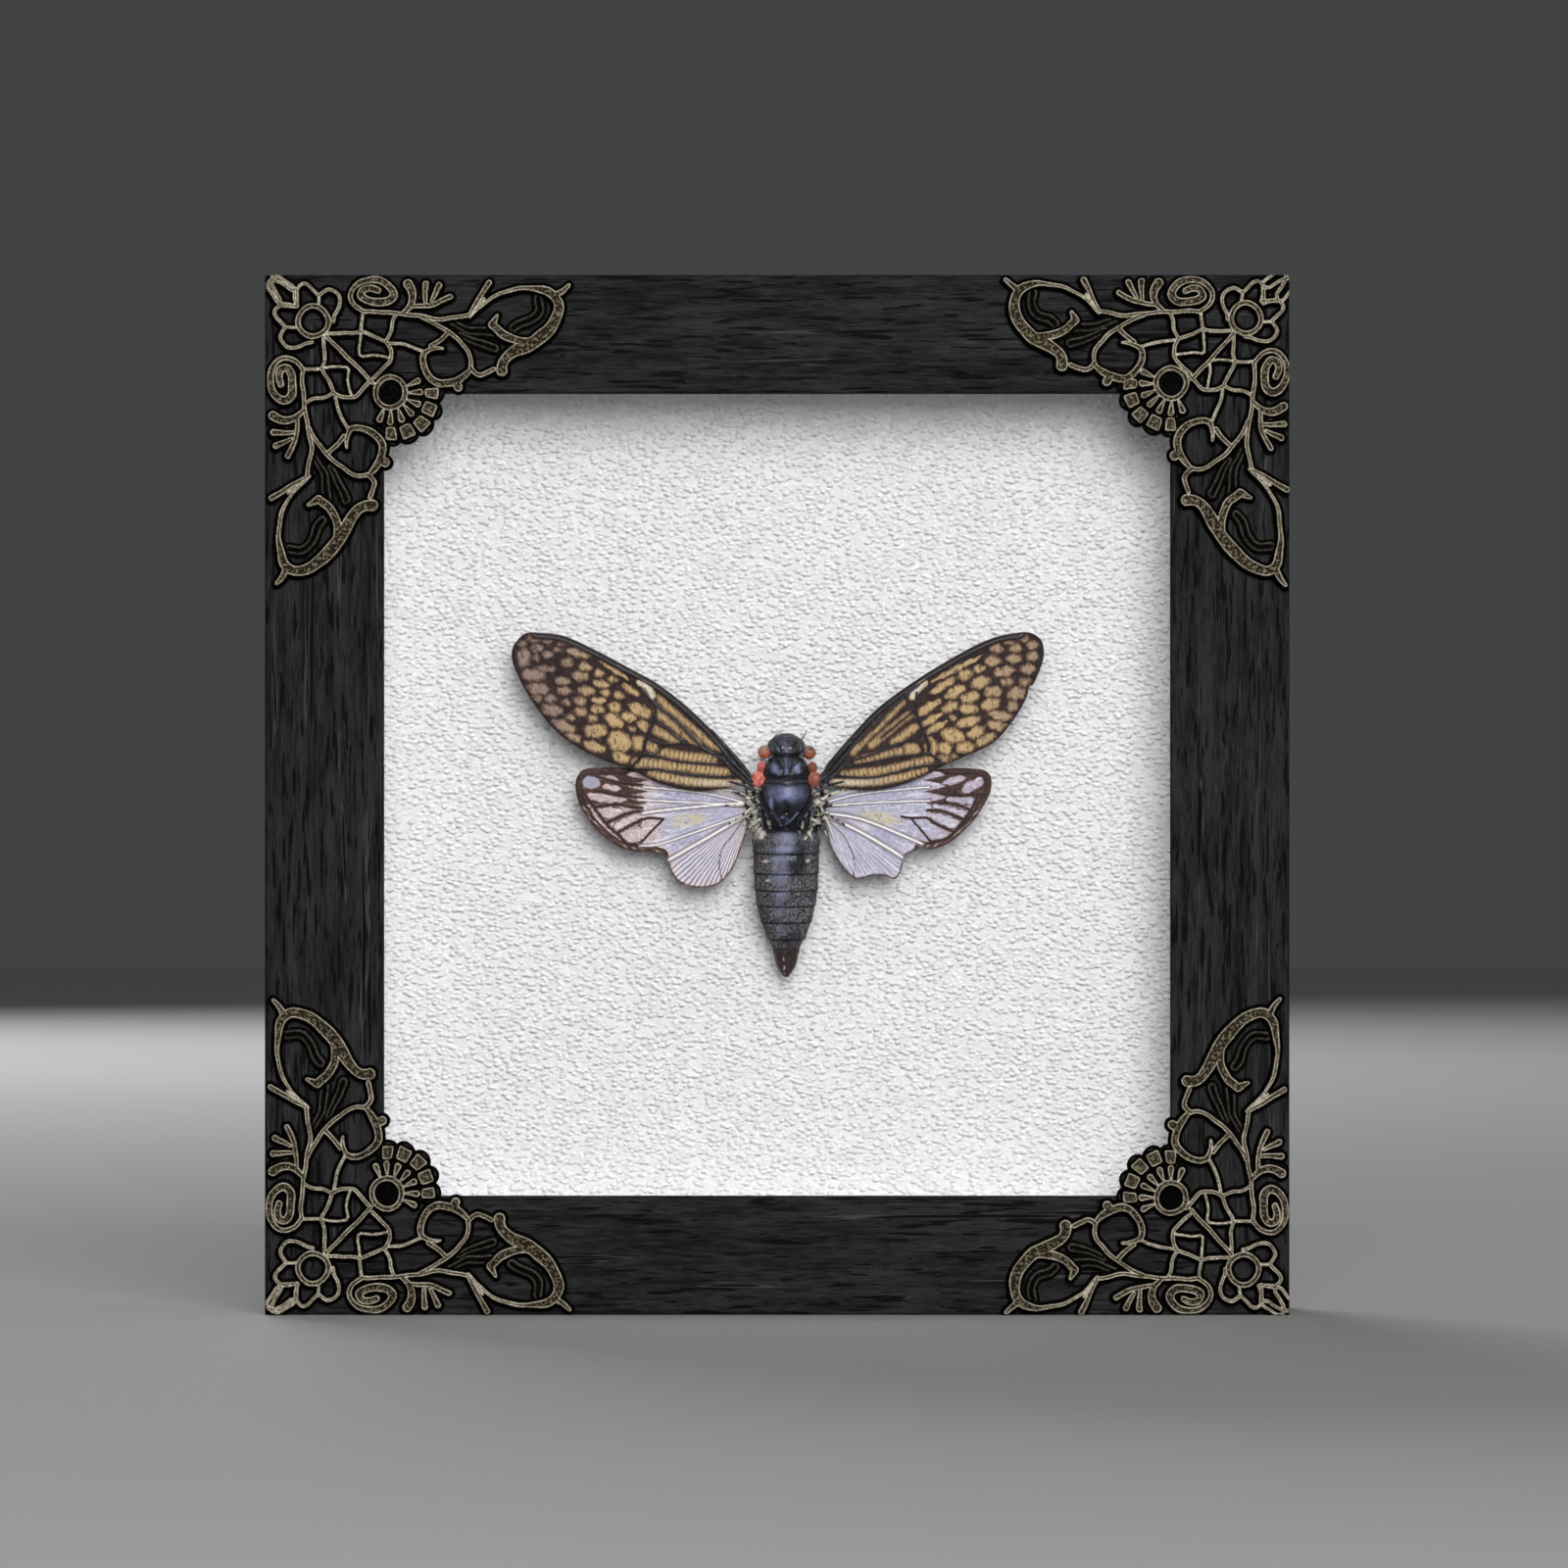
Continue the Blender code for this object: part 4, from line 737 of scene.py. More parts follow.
# The windows: middle x and z, length, width and tilt in degrees; a sixth number dulls one
FORE_WINDOWS = {
    "left": [
        (42.2, 24.2, 1.8, 1.0, 0), (40.0, 24.0, 1.8, 0.8, 0), (37.3, 23.4, 1.5, 0.6, 0),
        (44.2, 23.4, 1.3, 0.8, 0, 0.6), (41.6, 22.7, 1.9, 1.3, 0), (38.2, 22.4, 1.0, 0.8, 0),
        (43.8, 21.1, 2.1, 2.8, 0), (41.7, 21.1, 1.0, 1.0, 0, 0.5), (39.8, 21.6, 1.5, 1.0, 0),
        (34.6, 21.9, 3.9, 1.3, 12), (36.5, 20.3, 1.9, 1.3, 0), (33.6, 19.6, 2.1, 1.3, 8),
        (28.7, 19.0, 5.8, 0.7, 32), (40.1, 19.2, 3.2, 1.0, 5, 0.7), (42.1, 18.2, 3.9, 1.9, 5),
        (31.2, 18.5, 1.5, 1.1, 0), (34.3, 18.0, 2.8, 1.5, 5), (28.9, 17.4, 1.3, 0.9, 10),
        (37.3, 17.2, 2.3, 1.3, 0), (41.4, 15.9, 3.6, 1.8, 5), (30.9, 16.7, 2.8, 1.1, 15),
        (37.1, 15.6, 2.3, 1.3, 0), (33.4, 15.6, 2.8, 1.5, 5), (30.2, 15.3, 1.6, 1.0, 5),
        (27.9, 14.8, 1.8, 1.1, 20), (26.0, 15.7, 3.2, 1.0, 35), (39.3, 14.3, 1.9, 1.3, 5),
        (41.6, 14.3, 1.5, 1.0, 0, 0.6), (36.7, 13.7, 1.1, 1.0, 0), (34.4, 13.8, 2.1, 1.3, 5),
        (31.2, 13.9, 2.3, 1.0, 5), (28.6, 12.8, 2.3, 1.5, 5), (24.4, 12.3, 4.1, 1.8, 28),
        (39.1, 12.3, 3.6, 1.8, 8), (31.5, 12.5, 2.3, 1.3, 8), (34.3, 12.0, 2.1, 1.3, 10),
        (36.0, 11.0, 1.6, 1.0, 10), (32.3, 10.9, 1.8, 1.0, 0), (28.7, 10.6, 3.2, 1.9, 30),
        (26.3, 11.2, 2.4, 1.5, 20), (37.2, 9.7, 4.1, 1.5, 20), (23.8, 9.7, 2.1, 1.5, 35),
        (25.8, 9.3, 1.0, 0.8, 20), (31.8, 8.9, 3.7, 2.1, -5), (35.6, 7.8, 2.6, 1.3, 20),
        (27.8, 7.1, 4.1, 3.2, 30), (24.7, 6.8, 1.9, 2.4, 0), (32.0, 6.2, 3.7, 1.6, 20),
        (27.6, 4.5, 2.9, 1.8, 20), (22.4, 6.3, 1.9, 1.9, 0)],
    "right": [
        (39.6, 24.4, 1.6, 1.0, 0), (37.3, 23.7, 1.5, 0.6, 0), (41.1, 23.2, 1.5, 1.3, 0),
        (38.3, 22.7, 1.6, 1.3, 0), (35.2, 22.6, 1.9, 1.3, 0), (41.1, 21.4, 1.6, 1.5, 0),
        (38.0, 20.9, 2.3, 1.3, 0), (34.4, 20.5, 2.4, 1.5, 0), (28.4, 19.2, 9.4, 0.8, 27),
        (32.2, 19.2, 1.9, 1.0, 0), (40.3, 19.2, 2.3, 1.5, 0), (36.4, 18.8, 3.4, 1.5, 8),
        (29.9, 18.2, 2.4, 1.5, 10), (36.8, 17.0, 1.9, 1.1, 0), (39.8, 17.0, 1.8, 1.3, 0),
        (32.4, 17.0, 3.1, 1.8, 15), (26.2, 16.4, 4.9, 1.1, 33), (28.2, 15.4, 3.6, 1.5, 28),
        (34.6, 15.4, 2.9, 1.5, 0), (38.5, 15.1, 2.9, 1.9, 0), (30.7, 14.5, 3.2, 1.6, 15),
        (34.1, 13.3, 3.1, 1.8, 10), (37.8, 13.0, 1.5, 1.5, 0), (23.7, 12.7, 4.7, 1.3, 32),
        (27.4, 12.8, 2.6, 1.5, 25), (30.4, 12.5, 2.9, 1.6, 0), (35.7, 11.4, 3.7, 1.3, -10),
        (24.0, 10.6, 4.4, 1.0, 30), (27.9, 11.0, 1.1, 0.6, 0), (30.4, 10.4, 4.1, 1.5, 15),
        (35.2, 9.7, 2.9, 1.5, -8), (24.9, 9.4, 4.5, 1.0, 28), (27.8, 8.1, 3.7, 2.3, -10),
        (31.7, 8.6, 2.8, 1.8, 20), (33.4, 7.3, 3.6, 1.8, 25), (24.2, 6.2, 1.9, 2.9, 0),
        (26.5, 6.0, 2.1, 1.9, 0), (29.9, 6.0, 2.8, 1.9, 0), (27.9, 4.4, 1.3, 1.1, 0),
        (26.3, 4.1, 1.8, 1.5, 0), (20.9, 5.8, 2.6, 1.9, 8)],
}
# The long windows near the root: width and the line they follow
FORE_STRIPS = {
    "left": [
        (1.0, [(21.3, 14.3), (16.6, 10.1), (11.5, 5.7)]),
        (1.5, [(21.4, 11.9), (18.2, 9.6), (14.9, 7.0)]),
        (1.3, [(22.4, 9.3), (20.6, 8.4), (18.5, 7.3)]),
        (1.5, [(20.9, 5.2), (16.6, 4.5), (12.5, 4.1)]),
        (1.5, [(25.0, 3.6), (16.6, 2.9), (10.2, 1.8)]),
        (1.3, [(22.4, 1.8), (16.6, 0.5), (8.0, 0.0)])],
    "right": [
        (1.0, [(19.3, 13.6), (15.3, 9.6), (11.2, 5.4)]),
        (1.1, [(20.3, 11.4), (17.4, 9.1), (14.3, 6.5)]),
        (1.1, [(21.4, 9.4), (20.0, 8.4), (18.0, 7.0)]),
        (1.1, [(19.2, 5.5), (15.6, 4.7), (12.0, 3.9)]),
        (1.1, [(24.0, 4.1), (16.7, 2.4), (9.7, 1.6)]),
        (1.1, [(23.2, 2.1), (15.9, 0.5), (7.8, 0.2)])],
}
FORE_VEINS = {
    "left": [
        (0.5, [(2.6, 2.1), (6.8, 4.7), (12.8, 5.4), (16.2, 8.4), (18.5, 10.7), (21.8, 13.3),
               (24.4, 16.2)]),
        (0.5, [(10.4, 3.9), (11.7, 4.7), (12.8, 5.4)]),
        (0.4, [(12.8, 5.4), (16.2, 6.7), (18.8, 6.6), (21.1, 6.8), (22.9, 7.5)]),
        (0.5, [(21.9, 14.3), (21.8, 12.5), (22.0, 10.7), (23.2, 7.8), (23.7, 6.3), (23.7, 5.0)]),
        (0.4, [(7.8, 1.5), (11.4, 1.1), (13.8, 1.3), (17.2, 1.6), (21.4, 2.4), (25.5, 2.4)]),
        (0.4, [(9.1, 4.2), (10.6, 3.3), (15.6, 3.5), (18.8, 3.9), (21.7, 4.7), (23.7, 5.0)]),
        (0.4, [(23.7, 5.0), (25.0, 3.7), (26.1, 2.4)]), (0.3, [(21.7, 5.0), (20.1, 6.5)]),
        (0.3, [(17.0, 6.7), (18.5, 8.0), (20.0, 9.1), (21.7, 10.2)]),
        (0.5, [(1.9, 1.1), (5.2, 0.6), (7.8, 1.5)]), (0.5, [(2.6, 2.1), (5.2, 2.3), (9.1, 4.1)]),
        (0.5, [(1.9, 0.5), (6.8, 2.3), (10.4, 3.9)])],
    "right": [
        (0.5, [(2.6, 2.1), (7.8, 5.2), (12.7, 7.8), (15.9, 10.9), (19.3, 14.3), (22.1, 16.4)]),
        (0.4, [(11.0, 3.9), (14.3, 4.9), (17.5, 6.2), (20.5, 7.3), (23.2, 8.8)]),
        (0.5, [(21.8, 15.3), (21.6, 13.0), (22.1, 10.6), (23.2, 8.1), (23.7, 6.5), (23.7, 4.9)]),
        (0.4, [(7.8, 1.5), (12.7, 1.0), (16.7, 1.5), (21.6, 2.8), (26.0, 3.2)]),
        (0.4, [(9.7, 2.9), (14.3, 3.6), (18.3, 4.5), (22.4, 4.9), (24.0, 5.2)]),
        (0.4, [(23.7, 5.2), (25.3, 4.1), (26.6, 2.9)]),
        (0.3, [(15.9, 7.8), (18.3, 9.7), (21.4, 12.3)]),
        (0.5, [(2.1, 1.1), (5.4, 0.6), (7.8, 1.5)]), (0.5, [(2.6, 2.1), (6.2, 2.4), (9.7, 3.9)])],
}
# The wings' grid step, half thickness in the blade and at the hem, how far their back
# stands off, and how much they fall back outwards; then what the fore wings need
WING_STEP = 0.16
BLADE_HALF = 0.13
HEM_HALF = 0.05
BACK_HALF = 0.16
WING_DROOP = 0.01
FORE_WING_Y = -1.9
LEADING_POINTS = 9
SIDES = (("left", -1), ("right", 1))
NODE_PATCH = {"left": [(24.4, 16.9), (23.4, 16.4), (22.6, 15.4), (22.3, 14.6)],
              "right": [(23.1, 16.9), (22.4, 16.3), (21.5, 15.3), (21.1, 14.6)]}


def wing_relief(hem):
    """A grid of distances past a wing's hem, negative inside it."""
    outline = smooth_path(hem, 6, closed=True)
    relief = Relief(outline.min(axis=0) - 1, outline.max(axis=0) + 1, WING_STEP)
    near = np.full(relief.u.shape, 3.0)
    inside = np.zeros(relief.u.shape, int)
    for a, b in zip(outline, np.roll(outline, -1, axis=0)):
        along = b - a
        near = np.minimum(near, from_segment(relief.u, relief.v, a, b)[0])
        if a[1] != b[1]:
            crosses = (a[1] > relief.v) != (b[1] > relief.v)
            inside += crosses & (relief.u < a[0] + (relief.v - a[1]) * along[0] / along[1])
    relief.edge = np.where(inside % 2 == 1, -near, near)
    return relief


def line_distance(relief, points):
    """Distance of every grid point from one line."""
    field = np.full(relief.u.shape, FAR)
    for window, past in relief.stroke((0.0,), points, margin=2.2):
        field[window] = np.minimum(field[window], past)
    return field


# The power of a window's outline: 2 would be an ellipse, and more is squarer
OVALNESS = 2.2


def window_distances(relief, windows, strips):
    """Distance past the nearest and the second nearest window, and the nearest one's tone."""
    nearest = np.full(relief.u.shape, FAR)
    second = nearest.copy()
    tone = np.ones(relief.u.shape)
    fields = []
    bent_u = relief.u + 0.11 * np.sin(3.1 * relief.v + 1.7 * relief.u)
    bent_v = relief.v + 0.10 * np.sin(3.7 * relief.u - 1.9 * relief.v)
    for x, z, length, width, tilt, *dull in windows:
        du, dv = turned(bent_u, bent_v, (x, z), tilt)
        oval = np.abs(2 * du / length) ** OVALNESS + np.abs(2 * dv / width) ** OVALNESS
        past = np.hypot(du, dv) * (1 - 1 / np.maximum(oval, 1e-6) ** (1 / OVALNESS))
        fields.append((past, dull[0] if dull else 1.0))
    for width, points in strips:
        fields.append((line_distance(relief, points) - width / 2, 0.95))
    for past, strength in fields:
        closer = past < nearest
        second = np.where(closer, nearest, np.minimum(second, past))
        tone = np.where(closer, strength, tone)
        nearest = np.where(closer, past, nearest)
    return nearest, second, tone


def stored_wing(name, relief, thickness, fields, side, root_y, material):
    """The wing as a closed plate: thicker where its veins stand proud, on both faces."""
    places, spots, quads = field_sheet(relief)
    pick = tuple(places.T)
    hem_thin = ramped(-relief.edge[pick], 0.0, 0.5)
    half = (HEM_HALF + (BLADE_HALF + thickness[pick] - HEM_HALF) * hem_thin) * MM
    x = SPECIMEN[0] + side * spots[:, 0] * MM
    z = SPECIMEN[2] + spots[:, 1] * MM
    y = (root_y + WING_DROOP * spots[:, 0]) * MM
    front = np.stack([x, y - half, z], axis=1)
    back = np.stack([x, y + np.minimum(half, BACK_HALF * MM), z], axis=1)
    points, faces = closed_plate(front, back, quads)
    wing = new_piece(name, points, faces, material)
    face_outwards(wing)
    for label, values in fields.items():
        store(wing, label, np.tile(values[pick], 2))
    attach(wing, "root")
    return wing


# How far the windows of each wing run past their drawn size, and how pink its tip is
WINDOW_SPREAD = {"left": 0.06, "right": 0.1}
TIP_PINK = {"left": 1.0, "right": 0.65}
FORE_SURROUND = (0.025, 0.018, 0.0185, 1)
FORE_BROWN = (0.047, 0.030, 0.026, 1)
FORE_TAN = (0.225, 0.145, 0.078, 1)
FORE_GOLD = (0.50, 0.355, 0.175, 1)
FORE_PINK = (0.145, 0.095, 0.077, 1)
FORE_ROSE = (0.275, 0.200, 0.170, 1)
FORE_VEIN = (0.0075, 0.0080, 0.0125, 1)
FORE_PALE = (0.74, 0.69, 0.60, 1)
FORE_GLINT = (0.60, 0.47, 0.32, 1)
RIPPLE_SHADE = (0.105, 0.062, 0.038, 1)
RIPPLE_HIGHLIGHT = (0.52, 0.39, 0.23, 1)
RIB_SHINE = (0.17, 0.17, 0.22, 1)


def fore_wing_membrane():
    material, tree, shader = new_material("fore wing membrane")
    vector = placed(tree)
    creases = noise(tree, placed(tree, (1.0, 1, 0.4), (0, math.radians(-25), 0)), 2600.0, 3.0,
                    0.65, 0.8)
    fibres = noise(tree, placed(tree, (0.5, 1, 1.0), (0, math.radians(20), 0)), 3600.0, 2.0, 0.6)
    mottle = noise(tree, vector, 1100.0, 3.0, 0.65)
    rough_edge = times(tree, maths(tree, "SUBTRACT", mottle, 0.5), 0.8,
                       times(tree, maths(tree, "SUBTRACT", creases, 0.5), 0.75))
    depth = maths(tree, "ADD", attribute(tree, "inset"), rough_edge)
    tip = attribute(tree, "tip")
    dull = maths(tree, "SUBTRACT", 1.0, attribute(tree, "tone"))
    deep = blend(tree, tip, FORE_TAN, FORE_PINK)
    light = blend(tree, tip, FORE_GOLD, FORE_ROSE)
    light = blend(tree, dull, light, deep)
    inside = between(tree, attribute(tree, "inset"), -0.15, 0.2)
    # Painted shade in the creases of the windows
    shade = times(tree, between(tree, creases, 0.50, 0.34, 0.0, 0.75), inside)
    glint = times(tree, between(tree, fibres, 0.56, 0.74, 0.0, 0.5), inside)
    ripple = attribute(tree, "ripple")
    broken_patch = times(tree, attribute(tree, "pale"), between(tree, creases, 0.3, 0.6, 0.55, 1.0))
    vein = attribute(tree, "vein")
    color = layered(
        tree, FORE_SURROUND, (between(tree, depth, -0.45, -0.10), FORE_BROWN),
        (between(tree, depth, -0.22, 0.16), deep),
        (between(tree, depth, 0.05, 0.52, 0.0, 0.95), light),
        (shade, FORE_BROWN), (glint, FORE_GLINT),
        # Painted shade in the ripples' troughs and painted highlight on their crests
        (between(tree, ripple, 0.40, 0.05, 0.0, 0.62), RIPPLE_SHADE),
        (between(tree, ripple, 0.66, 1.0, 0.0, 0.5), RIPPLE_HIGHLIGHT), (broken_patch, FORE_PALE),
        (between(tree, vein, 0.25, 0.7), FORE_VEIN),
        (between(tree, vein, 0.90, 1.0, 0.0, 0.4), RIB_SHINE))
    relief = times(tree, times(tree, mottle, inside), 0.8, creases)
    set_inputs(tree, shader, {
        "Base Color": color,
        "Roughness": between(tree, creases, 0.3, 0.7, 0.44, 0.58),
        "Specular IOR Level": 0.02,
        "Coat Weight": times(tree, vein, 0.22),
        "Coat Roughness": 0.10,
        "Normal": bumped(tree, relief, 0.07 * MM)})
    return material


fore_membrane = fore_wing_membrane()
for side_name, side in SIDES:
    hem = FORE_HEMS[side_name]
    relief = wing_relief(hem)
    nearest, second, tone = window_distances(relief, FORE_WINDOWS[side_name],
                                             FORE_STRIPS[side_name])
    inset = np.minimum(WINDOW_SPREAD[side_name] - nearest, (second - nearest) / 2 - 0.08)
    vein = np.zeros(relief.u.shape)
    for width, points in FORE_VEINS[side_name]:
        rib = line_distance(relief, points)
        vein = np.maximum(vein, ramped(rib, width * 0.6, width * 0.1))
        inset = np.minimum(inset, rib - width * 0.75)
    lead = line_distance(relief, hem[:LEADING_POINTS])
    ribs = np.maximum(np.exp(-((lead - 0.3) / 0.17) ** 2), np.exp(-((lead - 0.88) / 0.17) ** 2))
    vein = np.maximum(vein, ribs)
    inset = np.minimum(inset, lead - 1.2)
    ticks = 0.14 * np.cos((relief.u + relief.v) * 2 * math.pi / 0.95)
    inset = np.minimum(inset, -relief.edge - 0.42 + ticks)
    # The long strips ripple; the ripples carry painted shade and highlight as well as relief
    ripple = np.full(relief.u.shape, 0.5)
    for number, (width, points) in enumerate(FORE_STRIPS[side_name]):
        on_strip = ramped(line_distance(relief, points), width * 0.6, width * 0.35)
        wave = np.cos(relief.u * 2 * math.pi / 0.8 + relief.v * (1.4 if number > 2 else -5.5)
                      + 0.6 * np.sin(relief.v * 3))
        ripple = ripple + on_strip * (0.5 if number > 2 else 0.34) * wave
    patch = line_distance(relief, NODE_PATCH[side_name])
    pale = 0.8 * ramped(patch, 0.65, 0.15)
    anal = line_distance(relief, FORE_STRIPS[side_name][-1][1])
    pale = np.maximum(pale, 0.4 * ramped(anal, 0.7, 0.3) * ramped(relief.u, 21.0, 9.0))
    inset = np.maximum(inset, 0.5 * ramped(patch, 0.8, 0.5) - 0.3)
    outer = np.maximum(0.3 * ramped(lead, 0.14, 0.02),
                       0.07 * np.exp(-((lead - 0.59) / 0.12) ** 2))
    pale = np.maximum(pale, outer)
    raised_vein = np.exp(-(inset + 0.35).clip(-1, 0) ** 2 / 0.05) * (inset < 0)
    thickness = (0.15 * vein + 0.05 * ramped(inset, -0.3, 0.4) + 0.05 * (ripple - 0.5)
                 + 0.05 * raised_vein + 0.1 * pale)
    fields = {"inset": np.clip(inset, -1, 1), "vein": vein, "tone": tone, "pale": pale,
              "ripple": ripple, "tip": TIP_PINK[side_name] * ramped(relief.u, 28.0, 40.0)}
    wing = stored_wing("fore_wing_dressed_" + side_name, relief, softened(thickness, 1), fields,
                       side, FORE_WING_Y, fore_membrane)
    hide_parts("fore_wing_" + side_name)


# The hind wings: thin pale membrane, pleated behind like a fan, with white veins and a
# smoky brown margin that runs in between the outer windows. The right one is torn at its hem.

HIND_HEMS = {
    "left": [
        (6.5, -2.0), (12.0, -0.4), (20.0, 1.5), (27.0, 2.7), (33.1, 2.6), (34.7, 1.5),
        (35.2, -0.2), (34.7, -2.9), (33.4, -5.5), (31.2, -8.1), (28.5, -10.2), (25.8, -11.2),
        (22.9, -11.4), (20.8, -11.9), (19.8, -12.7), (19.3, -14.5), (18.2, -16.1),
        (16.2, -17.1), (13.9, -17.3), (11.5, -16.8), (9.9, -15.4), (8.6, -13.5), (7.6, -10.9),
        (6.7, -8.1), (6.5, -5.8)],
    "right": [
        (6.5, -2.0), (12.0, -0.4), (20.0, 1.5), (27.0, 2.6), (32.2, 2.5), (33.8, 1.8),
        (34.3, 0.6), (34.1, -1.3), (33.1, -3.4), (31.7, -5.7), (29.7, -7.8), (27.9, -9.4),
        (26.0, -10.4), (24.2, -10.9), (22.6, -10.6), (19.8, -12.0), (19.5, -13.3),
        (18.8, -15.3), (17.9, -15.9), (16.7, -15.4), (14.5, -15.3), (12.0, -15.9),
        (10.7, -15.3), (8.9, -13.2), (7.3, -10.2), (6.5, -5.9)],
}
HIND_WINDOWS = {
    "left": [
        (32.6, 0.3, 2.8, 1.9, 0), (29.5, 0.9, 3.2, 0.8, 10, 0.7), (29.2, -0.6, 2.9, 0.8, 12, 0.7),
        (30.2, -2.3, 7.1, 1.3, 5), (29.7, -4.7, 5.5, 1.8, 10), (26.3, -6.5, 5.8, 1.9, -25),
        (25.8, -8.6, 4.2, 2.3, -15)],
    "right": [
        (28.1, 0.6, 3.6, 1.0, 15, 0.7), (31.2, -0.2, 3.9, 1.5, 30), (29.4, -2.7, 5.2, 1.1, 0),
        (27.6, -4.5, 6.5, 1.1, -15), (26.8, -6.2, 5.8, 1.5, -20), (24.7, -7.8, 5.5, 2.9, -30)],
}
HIND_WHITE_VEINS = {
    "left": [
        (0.4, [(6.2, -3.1), (13.8, -3.7), (21.4, -4.5), (24.0, -4.9)]),
        (0.32, [(6.9, -5.1), (16.2, -8.4), (21.4, -10.1), (24.4, -10.3)]),
        (0.5, [(6.5, -5.1), (13.0, -8.9), (19.8, -12.8)]),
        (0.3, [(4.2, -3.9), (11.7, -1.9), (18.2, -1.0), (23.9, -0.5)]),
        (0.3, [(5.8, -3.6), (13.3, -3.2), (19.8, -2.9), (24.7, -2.6)]),
    ],
    "right": [
        (0.45, [(6.7, -4.9), (12.3, -5.8), (18.3, -8.1), (22.7, -10.0)]),
        (0.5, [(6.9, -5.4), (11.4, -7.5), (15.9, -10.0), (19.5, -12.3)]),
        (0.3, [(4.2, -3.9), (11.0, -1.9), (18.3, -1.0), (24.0, -0.5)]),
        (0.3, [(5.8, -3.7), (12.7, -3.2), (20.0, -2.9), (24.0, -2.8)]),
    ],
}
HIND_BROWN_VEINS = {
    "left": [
        (0.3, [(33.6, -1.8), (32.1, -3.9), (30.2, -6.5), (28.1, -8.4), (26.6, -9.9),
               (24.7, -10.2), (22.7, -11.0)]),
        (0.28, [(32.1, -3.9), (28.3, -3.4), (26.0, -3.8), (24.0, -4.0)]),
        (0.28, [(30.0, -6.5), (28.3, -5.7), (26.1, -4.8), (23.9, -4.5)]),
        (0.28, [(28.1, -8.1), (25.7, -6.8), (23.2, -5.7), (20.5, -5.9)]),
        (0.24, [(20.5, -5.9), (22.6, -8.0), (24.5, -10.1)]),
        (0.09, [(7.1, -5.9), (9.0, -8.6), (10.7, -10.9), (11.2, -13.6), (10.7, -15.9)]),
        (0.3, [(32.8, 1.6), (27.9, 0.2), (23.9, -0.2)]),
        (0.3, [(32.1, -1.0), (27.9, -1.9), (23.9, -2.3)]),
    ],
    "right": [
        (0.3, [(32.1, -1.8), (30.9, -4.4), (28.1, -8.0), (26.9, -9.2), (24.3, -9.7)]),
        (0.28, [(25.8, -1.6), (28.9, -1.9), (32.6, -1.8)]),
        (0.28, [(26.1, -3.2), (28.4, -3.4), (30.9, -4.4)]),
        (0.28, [(23.5, -4.4), (26.3, -4.6), (29.7, -6.0)]),
        (0.28, [(23.5, -5.6), (25.1, -6.7), (28.1, -8.0)]),
        (0.26, [(19.2, -5.4), (20.8, -5.7), (23.5, -5.6)]),
        (0.24, [(20.8, -5.7), (22.3, -7.4), (24.1, -9.6)]),
        (0.09, [(7.3, -6.4), (9.7, -8.8), (11.0, -11.4), (11.4, -13.0), (11.3, -15.3)]),
    ],
}
CREAM_PATCH = {"left": (16.5, -6.0, 3.4, 1.1, -8), "right": (15.5, -5.6, 4.2, 1.1, -10)}
MARGIN_POINTS = {"left": (3, 14), "right": (3, 15)}
HIND_WING_Y = -0.7
HINGE = (6.4, -4.4)

# How sharp each wing's pleats still are, and how pink its outer windows
PLEATS = {"left": 1.0, "right": 0.4}
TIP_BLUSH = {"left": 1.0, "right": 0.35}
HIND_LILAC = (0.385, 0.385, 0.53, 1)
HIND_PINK = (0.53, 0.405, 0.405, 1)
HIND_WHITE = (0.73, 0.71, 0.78, 1)
HIND_FOLD_SHADE = (0.20, 0.165, 0.180, 1)
HIND_UMBER = (0.115, 0.066, 0.055, 1)
HIND_BROWN = (0.032, 0.020, 0.0185, 1)
HIND_CREAM = (0.58, 0.51, 0.30, 1)
HIND_CRINKLE_HIGHLIGHT = (0.80, 0.77, 0.81, 1)
HIND_PLEAT = (0.25, 0.19, 0.195, 1)
HIND_SPOT = (0.34, 0.34, 0.45, 1)
HIND_VEIN = (0.90, 0.88, 0.84, 1)


